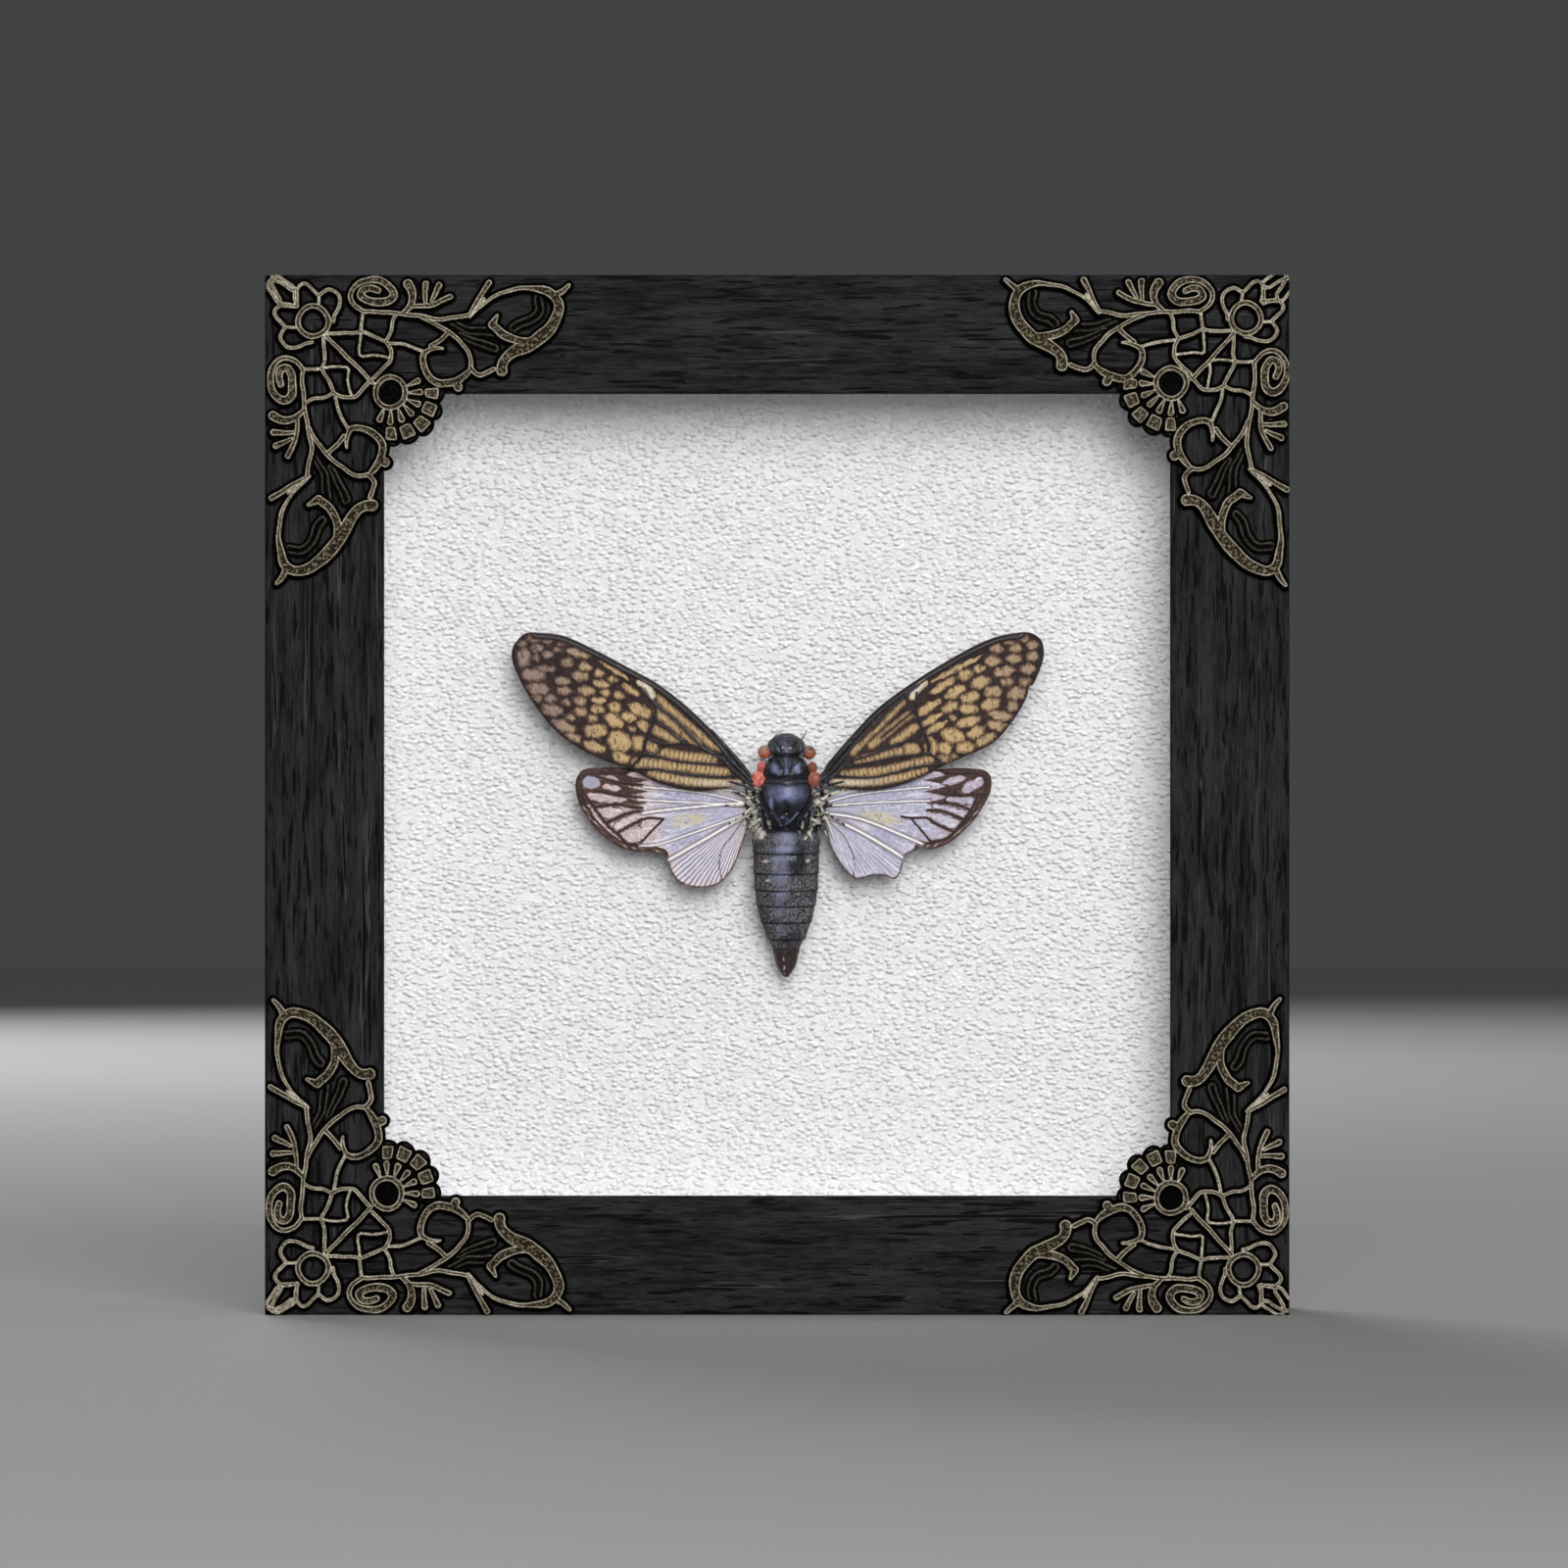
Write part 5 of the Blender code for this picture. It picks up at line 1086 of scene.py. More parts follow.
def hind_wing_membrane():
    material, tree, shader = new_material("hind wing membrane")
    vector = placed(tree)
    reach = attribute(tree, "reach")
    sweep = attribute(tree, "sweep")
    fan = add_node(tree, "ShaderNodeCombineXYZ", {0: times(tree, sweep, 26.0),
                                                  1: times(tree, reach, 0.22)})
    across = add_node(tree, "ShaderNodeCombineXYZ", {0: times(tree, sweep, 9.0),
                                                     1: times(tree, reach, 1.7)})
    streaks = noise(tree, fan.outputs[0], 1.0, 4.0, 0.65, 0.3)
    fine = noise(tree, fan.outputs[0], 3.2, 3.0, 0.6, 0.2)
    waves = noise(tree, across.outputs[0], 1.0, 3.0, 0.6, 0.6)
    crinkle = noise(tree, vector, 2100.0, 3.0, 0.65, 0.9)
    mottle = noise(tree, vector, 420.0, 2.0)
    pinkness = times(tree, mottle, 0.5, attribute(tree, "tip"))
    cream = times(tree, attribute(tree, "cream"), between(tree, crinkle, 0.35, 0.6))
    pleat = maths(tree, "SINE", times(tree, sweep, 128.0, times(tree, mottle, 5.0)))
    pleated = attribute(tree, "pleated")
    dense = times(tree, maths(tree, "SUBTRACT", crinkle, 0.5), 0.9, attribute(tree, "brown"))
    dense = times(tree, maths(tree, "SUBTRACT", fine, 0.5), 0.5, dense)
    # Painted highlight on the crinkles, and painted shade in the folds and beside the white veins
    color = layered(
        tree, HIND_LILAC, (between(tree, pinkness, 0.35, 0.95), HIND_PINK),
        (between(tree, streaks, 0.50, 0.62, 0.0, 0.8), HIND_WHITE),
        (between(tree, waves, 0.54, 0.68, 0.0, 0.55), HIND_WHITE),
        (between(tree, crinkle, 0.56, 0.70, 0.0, 0.6), HIND_CRINKLE_HIGHLIGHT),
        (between(tree, fine, 0.46, 0.36, 0.0, 0.55), HIND_FOLD_SHADE),
        (between(tree, crinkle, 0.44, 0.32, 0.0, 0.6), HIND_FOLD_SHADE), (cream, HIND_CREAM),
        (times(tree, pleated, between(tree, pleat, -0.1, 0.9, 0.0, 0.8)), HIND_WHITE),
        (times(tree, pleated, between(tree, pleat, -0.2, -0.9, 0.0, 0.9)), HIND_PLEAT),
        (between(tree, dense, 0.15, 0.5), HIND_UMBER),
        (between(tree, dense, 0.42, 0.85), HIND_BROWN), (attribute(tree, "spot"), HIND_SPOT),
        (between(tree, attribute(tree, "shade"), 0.1, 0.9, 0.0, 0.7), HIND_FOLD_SHADE),
        (between(tree, attribute(tree, "white"), 0.2, 0.8), HIND_VEIN))
    relief = times(tree, streaks, 1.0, crinkle)
    relief = times(tree, waves, 0.8, relief)
    set_inputs(tree, shader, {
        "Base Color": color,
        "Roughness": between(tree, crinkle, 0.3, 0.7, 0.40, 0.56),
        "Specular IOR Level": 0.06,
        "Normal": bumped(tree, relief, 0.12 * MM)})
    return material


hind_membrane = hind_wing_membrane()
for side_name, side in SIDES:
    hem = HIND_HEMS[side_name]
    relief = wing_relief(hem)
    nearest, _, _ = window_distances(relief, HIND_WINDOWS[side_name], [])
    window = ramped(nearest, 0.45, -0.3)
    first, last = MARGIN_POINTS[side_name]
    margin = line_distance(relief, hem[first:last])
    along_hem = np.cos((relief.u * 0.8 - relief.v) * 2 * math.pi / 0.9)
    tips = (0.5 + 0.5 * np.cos((relief.v + 0.3) * 2 * math.pi / 1.9)) ** 0.7
    smoke = ramped(relief.u - 22.9 - 3.5 * tips, -0.3, 0.6) * ramped(relief.v, -4.2, -3.0)
    outer = relief.u > 24
    band = np.maximum(ramped(margin, 0.35, 0.12), np.exp(-((margin - 0.95) / 0.2) ** 2))
    band = np.maximum(band, (0.5 + 0.2 * along_hem) * ramped(margin, 1.15, 0.8))
    border = 0.62 * ramped(nearest, 0.9, 0.1) * outer
    brown = np.maximum(0.68 * smoke, border) * (1 - window)
    brown = np.maximum(brown, band * ramped(-relief.edge, 0, 0.2))
    white = np.zeros(relief.u.shape)
    shade = np.zeros(relief.u.shape)
    for width, points in HIND_BROWN_VEINS[side_name]:
        rib = line_distance(relief, points)
        brown = np.maximum(brown, ramped(rib, width * 1.2, width * 0.15))
        brown = np.maximum(brown, 0.42 * ramped(rib, 0.75, 0.2) * outer)
    for width, points in HIND_WHITE_VEINS[side_name]:
        rib = line_distance(relief, points)
        white = np.maximum(white, ramped(rib, width * 0.55, width * 0.1))
        # A painted shadow line along each side of every white vein
        shade = np.maximum(shade, ramped(rib, width * 1.5, width * 0.9))
    brown = np.maximum(brown, 0.5 * ramped(-relief.edge, 0.45, 0.15) * ramped(relief.v, -3, -9))
    strip = np.abs(relief.edge + 0.35) + 3 * ramped(relief.v, -3.3, -3.9)
    white = np.maximum(white, ramped(strip, 0.4, 0.15) * ramped(relief.u, 16.0, 12.0)
                       * ramped(relief.v, -4.0, -3.0))
    x, z, length, width, tilt = CREAM_PATCH[side_name]
    du, dv = turned(relief.u, relief.v, (x, z), tilt)
    cream = ramped(np.hypot(du / length, dv / width), 1.3, 0.5)
    spot = np.zeros(relief.u.shape)
    if side_name == "left":
        x, z, *_ = HIND_WINDOWS["left"][0]
        spot = ramped(np.hypot((relief.u - x) / 1.5, (relief.v - z) / 1.05), 1.15, 0.5)
    reach = np.hypot(relief.u - HINGE[0], relief.v - HINGE[1])
    sweep = np.arctan2(HINGE[1] - relief.v, relief.u - HINGE[0])
    behind = ramped(sweep, 0.5, 0.7) * ramped(reach, 1.0, 3.0)
    pleats = (0.5 + 0.5 * np.cos(sweep * 78)) * behind
    thickness = (0.14 * white + 0.08 * brown * ramped(nearest, 0.0, 0.4) + 0.13 * pleats
                 + 0.03 * ramped(nearest, 0.1, -0.4))
    fields = {"brown": brown, "white": white, "shade": shade, "cream": cream, "spot": spot,
              "reach": reach, "sweep": sweep, "pleated": PLEATS[side_name] * behind,
              "tip": TIP_BLUSH[side_name] * (ramped(relief.u, 17.0, 27.0)
                                             + 0.6 * ramped(-relief.edge, 2.0, 0.3))}
    wing = stored_wing("hind_wing_dressed_" + side_name, relief, softened(thickness, 1), fields,
                       side, HIND_WING_Y, hind_membrane)
    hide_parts("hind_wing_" + side_name)


# The body: one hard shell, glossy blue-black on head and thorax, its abdomen dulled by a
# fine nap, with pale creased hinges behind the wings and a narrow sheath at the tail.
# Sections run from head to tail: height, half width, back and belly, in millimetres.

BODY_SECTIONS = [
    (8.45, 0.7, -0.3, 1.4), (8.2, 1.6, -1.0, 2.3), (7.6, 2.35, -1.7, 3.0), (7.0, 2.9, -2.3, 3.4),
    (6.3, 3.05, -2.7, 3.5), (5.4, 3.05, -2.9, 3.5), (4.9, 2.6, -2.9, 3.5), (4.5, 2.8, -3.1, 3.5),
    (3.8, 3.35, -3.7, 3.6), (2.8, 3.95, -4.2, 3.6), (1.7, 4.2, -4.5, 3.7), (1.1, 4.2, -4.6, 3.8),
    (0.6, 3.8, -4.5, 3.8), (0.1, 4.3, -4.9, 3.8),
    (-0.7, 4.6, -5.2, 3.9), (-2.2, 4.6, -5.4, 4.0), (-3.8, 4.3, -5.3, 4.0),
    (-5.5, 4.0, -5.0, 4.0), (-6.9, 3.9, -4.4, 3.9), (-7.4, 4.9, -4.2, 3.9),
    (-8.4, 5.4, -4.4, 3.9), (-9.6, 5.5, -4.7, 3.9), (-13.0, 5.45, -4.9, 3.9),
    (-17.9, 5.2, -4.4, 3.7), (-20.5, 4.8, -3.8, 3.5), (-23.2, 4.1, -2.8, 3.2),
    (-25.5, 3.2, -1.7, 2.9), (-27.4, 2.2, -0.7, 2.7), (-27.8, 2.15, -0.5, 2.7),
    (-29.2, 2.0, -0.2, 2.6), (-30.6, 1.55, 0.1, 2.4), (-31.6, 0.9, 0.4, 2.1),
    (-32.3, 0.3, 0.8, 1.7),
]
SEGMENT_ENDS = (-11.7, -15.1, -17.9, -20.5, -23.2, -26.0, -28.4)
ABDOMEN_TOP = -8.2


def on_both_sides(*mark):
    """A mark on the left, mirrored from the one on the right, and the one on the right."""
    *sizes, line = mark
    return (*sizes, [(-x, z) for x, z in line]), mark


# Grooves of the shell seen from above: width, depth and the line they follow
GROOVES = [
    (0.22, 0.28, [(-4.3, 0.95), (-2.0, 1.15), (0.0, 1.2), (2.0, 1.15), (4.3, 0.95)]),
    (0.16, 0.2, [(-3.9, 0.1), (-2.0, 0.0), (0.0, -0.05), (2.0, 0.0), (3.9, 0.1)]),
    (0.3, 0.35, [(-2.6, 4.7), (-1.2, 4.75), (0.0, 4.6), (1.2, 4.75), (2.6, 4.7)]),
    (0.2, 0.26, [(-1.95, 4.3), (-1.3, 3.2), (-0.55, 2.4), (-0.75, 1.5)]),
    (0.2, 0.26, [(2.4, 4.0), (1.5, 3.2), (0.65, 2.4), (0.8, 1.5)]),
    (0.16, 0.16, [(-0.5, 4.3), (-0.35, 3.0), (-0.5, 2.3)]),
    (0.16, 0.16, [(0.45, 4.3), (0.3, 3.0), (0.55, 2.3)]),
    *on_both_sides(0.2, 0.2, [(3.6, 2.2), (2.8, 1.7), (1.6, 1.5)]),
    (0.18, 0.2, [(-1.9, 7.3), (-1.3, 6.5), (-1.0, 5.5)]),
    (0.18, 0.2, [(1.9, 7.3), (1.3, 6.5), (1.1, 5.5)]),
    *on_both_sides(0.2, 0.4, [(4.5, -0.7), (4.1, -2.0), (3.6, -3.1), (2.7, -4.5), (1.4, -5.8)]),
    *on_both_sides(0.14, 0.2, [(4.3, -3.2), (3.4, -4.9), (2.2, -6.3)]),
    (0.5, 0.2, [(-0.2, -3.0), (0.2, -3.8), (0.1, -4.6)]),
    (0.2, 0.3, [(-2.2, -8.3), (-1.2, -7.5), (0.0, -7.1), (1.2, -7.5), (2.2, -8.3)]),
    (0.24, 0.3, [(-3.9, -4.6), (-2.7, -4.9), (-1.0, -6.6), (-0.2, -6.9), (1.4, -5.9),
                 (2.9, -4.8), (3.9, -4.6)]),
    *on_both_sides(0.3, 0.3, [(1.9, -5.4), (1.5, -6.6), (1.0, -7.2)]),
    (0.34, 0.4, [(-4.6, -6.9), (-2.4, -7.3), (0.0, -7.7), (2.4, -7.3), (4.6, -6.9)]),
]
# Raised lines with a painted highlight along them: width, height, brightness and line
RIDGES = [
    (0.17, 0.16, 1.6, [(-2.5, -4.7), (-1.6, -5.8), (-0.9, -6.9)]),
    (0.17, 0.16, 1.6, [(1.9, -4.9), (0.9, -6.1), (-0.2, -6.8)]),
    (0.12, 0.06, 0.45, [(-3.9, 0.5), (-2.0, 0.45), (0.0, 0.4), (2.0, 0.45), (3.9, 0.5)]),
    (0.2, 0.1, 0.6, [(-0.1, 4.2), (0.0, 3.0), (0.05, 1.6)]),
    *on_both_sides(0.12, 0.1, 0.9, [(4.6, -2.6), (4.1, -3.9), (3.2, -5.4)]),
    (0.12, 0.1, 0.3, [(0.1, -27.4), (0.2, -29.0), (0.3, -31.0), (0.1, -32.0)]),
]
# Swellings: middle x and z, half width, half height and rise
SWELLINGS = [(-4.5, -9.5, 1.1, 0.8, 0.4), (4.5, -9.5, 1.1, 0.8, 0.4), (0.0, -9.6, 2.6, 1.7, 0.35),
             (-2.3, 6.4, 0.9, 1.1, 0.25), (2.3, 6.4, 0.9, 1.1, 0.25)]
# Painted blue-grey sheen: middle x and z, half width, half height and strength
SHEEN = [
    (0.0, -1.6, 4.4, 2.1, 0.72), (-0.1, -1.6, 2.0, 1.7, 0.95), (-2.5, -3.1, 0.5, 1.6, 0.9),
    (2.6, -1.7, 0.8, 1.6, 0.6), (-2.6, -1.4, 0.8, 1.1, 0.6), (0.0, 3.1, 0.95, 2.3, 0.75),
    (-1.9, 2.6, 0.95, 1.2, 0.9), (-1.4, 1.8, 0.6, 0.8, 0.8), (1.7, 2.9, 0.85, 1.1, 0.9),
    (2.0, 2.0, 0.7, 0.7, 0.8), (0.0, 6.4, 1.9, 1.6, 0.4), (-1.0, -2.9, 0.5, 0.35, 0.6),
    (0.9, -2.9, 0.5, 0.35, 0.6),
    (-0.6, -5.6, 0.5, 0.35, 0.8), (0.2, -6.0, 0.4, 0.3, 0.6), (-2.2, 5.9, 0.35, 0.7, 0.6),
    (2.2, 5.9, 0.35, 0.7, 0.55), (0.0, 8.0, 0.9, 0.3, 0.4), (-0.9, 5.4, 0.9, 0.25, 0.5),
    (-0.1, -9.3, 1.9, 1.6, 0.95), (-0.3, -10.8, 2.6, 1.0, 0.9), (-0.95, -12.9, 2.0, 2.1, 0.85),
    (-0.95, -15.8, 1.9, 1.9, 0.85), (-0.95, -18.6, 1.7, 1.9, 0.75), (-0.95, -21.2, 1.5, 1.8, 0.65),
    (-0.9, -24.0, 1.1, 1.8, 0.55), (-4.5, -9.7, 0.8, 0.5, 0.35), (4.4, -9.7, 0.8, 0.5, 0.35),
]
# Cream creases of the drum covers, small worn specks and a painted highlight line down the tail
# sheath, given in the same way
CREAM_AND_HIGHLIGHT = [
    (-4.6, -7.5, 0.55, 0.75, 1.0), (-3.9, -8.5, 0.5, 0.7, 1.0), (-4.9, -8.4, 0.3, 0.8, 0.8),
    (4.8, -7.5, 0.6, 0.75, 1.0), (4.0, -8.5, 0.55, 0.7, 1.0), (3.3, -9.1, 0.4, 0.3, 1.0),
    (-2.9, -6.6, 0.25, 0.7, 0.8), (2.9, -6.8, 0.25, 0.6, 0.8), (-3.4, -12.9, 0.5, 0.22, 0.9),
    (3.6, -12.8, 0.28, 0.3, 0.9), (-3.0, -16.1, 0.3, 0.2, 0.9), (-3.9, 0.55, 0.25, 0.3, 0.9),
    # A painted highlight line down the tail sheath
    (-0.3, -30.0, 0.2, 1.6, 1.0),
]
# Painted shade on the right of the abdomen, made by thinning the nap there
NAP_SHADE = [(1.6, -12.4, 1.7, 3.0, 1.0), (1.2, -26.0, 1.6, 1.4, 0.7)]
BODY_AROUND = 112
BODY_STEP = 0.15


def body_sections():
    """The sections, closely spaced and smoothed."""
    rows = np.array(BODY_SECTIONS)
    depth = -rows[:, 0]
    z = np.arange(depth[0], depth[-1], BODY_STEP)
    values = []
    for column in (1, 2, 3):
        line = np.interp(z, depth, rows[:, column])
        padded = np.pad(line, 2, mode="edge")
        values.append(sum(padded[k:k + len(line)] for k in range(5)) / 5)
    return -z, values


def nearest_line(x, z, points):
    """Distance in the front view of each point from a line."""
    path = smooth_path(points, 4)
    field = np.full(x.shape, FAR)
    for a, b in zip(path, path[1:]):
        field = np.minimum(field, from_segment(x, z, a, b)[0])
    return field


def patches(x, z, spots, softness=0.6):
    """Soft oval patches; the strongest one counts where two meet."""
    field = np.zeros(x.shape)
    for middle_x, middle_z, half_x, half_z, strength in spots:
        away = np.hypot((x - middle_x) / half_x, (z - middle_z) / half_z)
        field = np.maximum(field, strength * ramped(away, 1.45, softness))
    return field


def skin(rows, around):
    """Quads over a closed tube of rings with a pole at each end."""
    row, turn = np.meshgrid(np.arange(rows - 1), np.arange(around), indexing="ij")
    a = row * around + turn
    b = row * around + (turn + 1) % around
    quads = np.stack([a, b, b + around, a + around], axis=-1).reshape(-1, 4).tolist()
    first = [(rows * around, (k + 1) % around, k) for k in range(around)]
    base = (rows - 1) * around
    last = [(rows * around + 1, base + k, base + (k + 1) % around) for k in range(around)]
    return quads + first + last


SHELL_BLACK = (0.0065, 0.0068, 0.0095, 1)
SHELL_SHEEN = (0.215, 0.240, 0.395, 1)
NAP_GREY = (0.25, 0.255, 0.295, 1)
NAP_BROWN = (0.17, 0.152, 0.152, 1)
SHEATH_BROWN = (0.042, 0.027, 0.025, 1)
HINGE_CREAM = (0.53, 0.505, 0.43, 1)
SIDE_RUST = (0.16, 0.075, 0.05, 1)
SEAM_BLACK = (0.003, 0.003, 0.004, 1)


def black_shell():
    material, tree, shader = new_material("black shell")
    vector = placed(tree)
    pits = noise(tree, vector, 1500.0, 3.0, 0.6)
    grain = noise(tree, placed(tree, (1, 1, 0.7)), 3800.0, 3.0, 0.7)
    cloud = noise(tree, vector, 620.0, 4.0, 0.65)
    sheen = attribute(tree, "sheen")
    nap = attribute(tree, "nap")
    speckled = times(tree, maths(tree, "SUBTRACT", grain, 0.5), 1.1, sheen)
    # Painted blue-grey sheen, broken up by cloud and speckle
    broken_patch = times(tree, times(tree, sheen, between(tree, cloud, 0.3, 0.6, 0.55, 1.1)),
                 between(tree, speckled, 0.05, 0.75, 0.25, 1.0))
    hairs = blend(tree, between(tree, cloud, 0.40, 0.66), NAP_BROWN, NAP_GREY)
    lit = times(tree, between(tree, grain, 0.38, 0.64), nap)
    sheath = times(tree, attribute(tree, "sheath"), between(tree, cloud, 0.3, 0.6, 0.5, 1.0))
    creases = between(tree, noise(tree, vector, 640.0, 1.0, 0.5, 1.2), 0.43, 0.53)
    color = layered(tree, SHELL_BLACK, (broken_patch, SHELL_SHEEN), (times(tree, lit, 0.85), hairs),
                    (times(tree, attribute(tree, "side"), lit), SIDE_RUST),
                    (times(tree, attribute(tree, "seam"), 0.9), SEAM_BLACK),
                    (sheath, SHEATH_BROWN),
                    (times(tree, attribute(tree, "cream"), creases), HINGE_CREAM))
    relief = times(tree, times(tree, grain, nap), 2.0, pits)
    gloss = times(tree, maths(tree, "SUBTRACT", 1.0, nap), times(tree, sheen, -0.75, 0.75))
    set_inputs(tree, shader, {
        "Base Color": color,
        "Roughness": between(tree, pits, 0.3, 0.7, 0.42, 0.55),
        "Specular IOR Level": 0.03,
        "Coat Weight": gloss,
        "Coat Roughness": 0.08,
        "Normal": bumped(tree, relief, 0.06 * MM)})
    return material


shell = black_shell()
z_rows, (half_width, back_y, belly_y) = body_sections()
angles = np.linspace(0, 2 * math.pi, BODY_AROUND, endpoint=False)
cosine = np.sign(np.cos(angles)) * np.abs(np.cos(angles)) ** 0.9
middle_y = ((back_y + belly_y) / 2)[:, None]
reach_y = ((belly_y - back_y) / 2)[:, None]
x = half_width[:, None] * cosine
y = middle_y - reach_y * np.sin(angles)
z = np.repeat(z_rows[:, None], BODY_AROUND, axis=1)
back_side = ramped(np.sin(angles), -0.15, 0.25)[None, :]
sink = np.zeros(x.shape)
seam = np.zeros(x.shape)
for width, depth, points in GROOVES:
    line = np.exp(-(nearest_line(x, z, points) / width) ** 2) * back_side
    sink = np.maximum(sink, depth * line)
    seam = np.maximum(seam, line)
rise = np.zeros(x.shape)
bright = np.zeros(x.shape)
for width, height, brightness, points in RIDGES:
    line = np.exp(-(nearest_line(x, z, points) / width) ** 2) * back_side
    rise = np.maximum(rise, height * line)
    bright = np.maximum(bright, brightness * line)
for end in SEGMENT_ENDS:
    arc = z - end - 0.25 * (x / 5.5) ** 2
    step = np.where(arc > 0, np.exp(-arc / 0.9), -0.35 * np.exp(arc / 0.5))
    rise = rise + 0.16 * step
    seam = np.maximum(seam, np.exp(-((arc + 0.05) / 0.16) ** 2))
cream = patches(x, z, CREAM_AND_HIGHLIGHT) * back_side
rumple = np.sin(x * 9 + np.sin(z * 7) * 2) * np.sin(z * 8 + x * 3)
rise = rise + cream * (0.12 + 0.16 * rumple)
for swelling in SWELLINGS:
    rise = rise + patches(x, z, [swelling]) * back_side
out = np.stack([x / np.maximum(half_width[:, None], 0.3), (y - middle_y) / reach_y], axis=-1)
out /= np.maximum(np.linalg.norm(out, axis=-1, keepdims=True), 1e-6)
lift = rise - sink
points = np.stack([SPECIMEN[0] + (x + lift * out[..., 0]) * MM, (y + lift * out[..., 1]) * MM,
                   SPECIMEN[2] + z * MM], axis=-1).reshape(-1, 3)
poles = np.array([points[:BODY_AROUND].mean(axis=0) + (0, 0, 0.05 * MM),
                  points[-BODY_AROUND:].mean(axis=0) - (0, 0, 0.15 * MM)])
body = new_piece("cicada_shell", np.concatenate([points, poles]),
                 skin(len(z_rows), BODY_AROUND), shell)
face_outwards(body)
abdomen = ramped(z, ABDOMEN_TOP + 0.4, ABDOMEN_TOP - 0.4)
sheath = ramped(z, -27.2, -27.8)
body_fields = {
    "sheen": np.maximum(patches(x, z, SHEEN, 0.0) * back_side, bright),
    "nap": np.maximum(abdomen * (1 - sheath) * (1 - 0.85 * patches(x, z, NAP_SHADE)),
                      0.07 + 0.25 * ramped(z, 4.4, 5.2)), "seam": seam, "cream": cream,
    "sheath": sheath * 0.9, "side": ramped(np.abs(x) / half_width[:, None], 0.82, 1.0) * 0.6}
for label, values in body_fields.items():
    store(body, label, np.append(values.reshape(-1), (0, 0)))
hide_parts("cicada_body")
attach(body, "root")


# Eyes and lobes: two round tan-and-red eyes at the sides of the head, three glassy specks
# between them, and two coral flaps of shell on either side of the collar.

# Centre and half sizes, and how much darker its colour is made
EYES = [((-3.64, -0.9, 5.36), (1.12, 1.15, 1.12), 0.0),
        ((3.9, -0.9, 5.26), (1.1, 1.15, 1.15), 0.3)]
LOBES = [
    ((-4.15, -1.5, 2.8), (0.72, 0.8, 1.0), 0.15), ((-4.72, -1.8, 0.8), (1.3, 0.7, 1.34), 0.0),
    ((4.4, -1.5, 2.76), (0.82, 0.8, 1.0), 0.9), ((4.86, -1.8, 0.75), (1.26, 0.7, 1.3), 0.75),
]
OCELLI = [((-0.57, -2.62, 6.0), (0.16, 0.14, 0.16)), ((0.68, -2.62, 5.97), (0.18, 0.14, 0.16)),
          ((0.05, -2.42, 6.6), (0.1, 0.1, 0.1))]


def ball(centre, halves, rows=20, around=28):
    """A ball stretched to three half sizes: its points, its faces and each point's direction."""
    tilt = np.linspace(0, math.pi, rows + 2)[1:-1]
    turn = np.linspace(0, 2 * math.pi, around, endpoint=False)
    ring = np.stack(np.broadcast_arrays(np.sin(tilt)[:, None] * np.cos(turn),
                                        np.sin(tilt)[:, None] * np.sin(turn),
                                        np.cos(tilt)[:, None]), axis=-1).reshape(-1, 3)
    way = np.vstack([ring, (0, 0, 1), (0, 0, -1)])
    points = SPECIMEN + (np.array(centre) + way * halves) * MM
    return points, skin(rows, around), way


def joined(shapes):
    """Several point and face lists as one."""
    points, faces = [], []
    for some_points, some_faces in shapes:
        first = sum(map(len, points))
        points.append(some_points)
        faces += [tuple(first + k for k in face) for face in some_faces]
    return np.concatenate(points), faces


EYE_RED = (0.50, 0.095, 0.045, 1)
EYE_RUSSET = (0.34, 0.135, 0.085, 1)
EYE_TAN = (0.28, 0.175, 0.130, 1)
EYE_BLOTCH = (0.075, 0.036, 0.024, 1)
EYE_DULL = (0.10, 0.055, 0.035, 1)
LOBE_RED = (0.46, 0.095, 0.070, 1)
LOBE_CORAL = (0.70, 0.235, 0.190, 1)
LOBE_GRAIN = (0.82, 0.42, 0.36, 1)
LOBE_PIT = (0.36, 0.070, 0.050, 1)
LOBE_DULL = (0.16, 0.055, 0.03, 1)
LOBE_RIM = (0.85, 0.46, 0.38, 1)
SPECK_AMBER = (0.70, 0.64, 0.45, 1)
SPECK_PALE = (0.85, 0.82, 0.70, 1)


def eye_material():
    material, tree, shader = new_material("cicada eye")
    vector = placed(tree)
    height = attribute(tree, "height")
    cloud = noise(tree, vector, 900.0, 3.0, 0.6)
    level = times(tree, maths(tree, "SUBTRACT", cloud, 0.5), 0.9, height)
    color = layered(tree, EYE_RED, (between(tree, level, -0.65, 0.05), EYE_RUSSET),
                    (between(tree, level, -0.1, 0.6), EYE_TAN),
                    (between(tree, cloud, 0.50, 0.36, 0.0, 0.8), EYE_BLOTCH),
                    (attribute(tree, "darkness"), EYE_DULL))
    facets = add_node(tree, "ShaderNodeTexVoronoi", {"Vector": vector, "Scale": 9000.0})
    set_inputs(tree, shader, {
        "Base Color": color, "Roughness": between(tree, cloud, 0.3, 0.7, 0.35, 0.5),
        "Specular IOR Level": 0.04, "Coat Weight": 1.0, "Coat Roughness": 0.05,
        "Normal": bumped(tree, facets.outputs["Distance"], 0.02 * MM)})
    return material


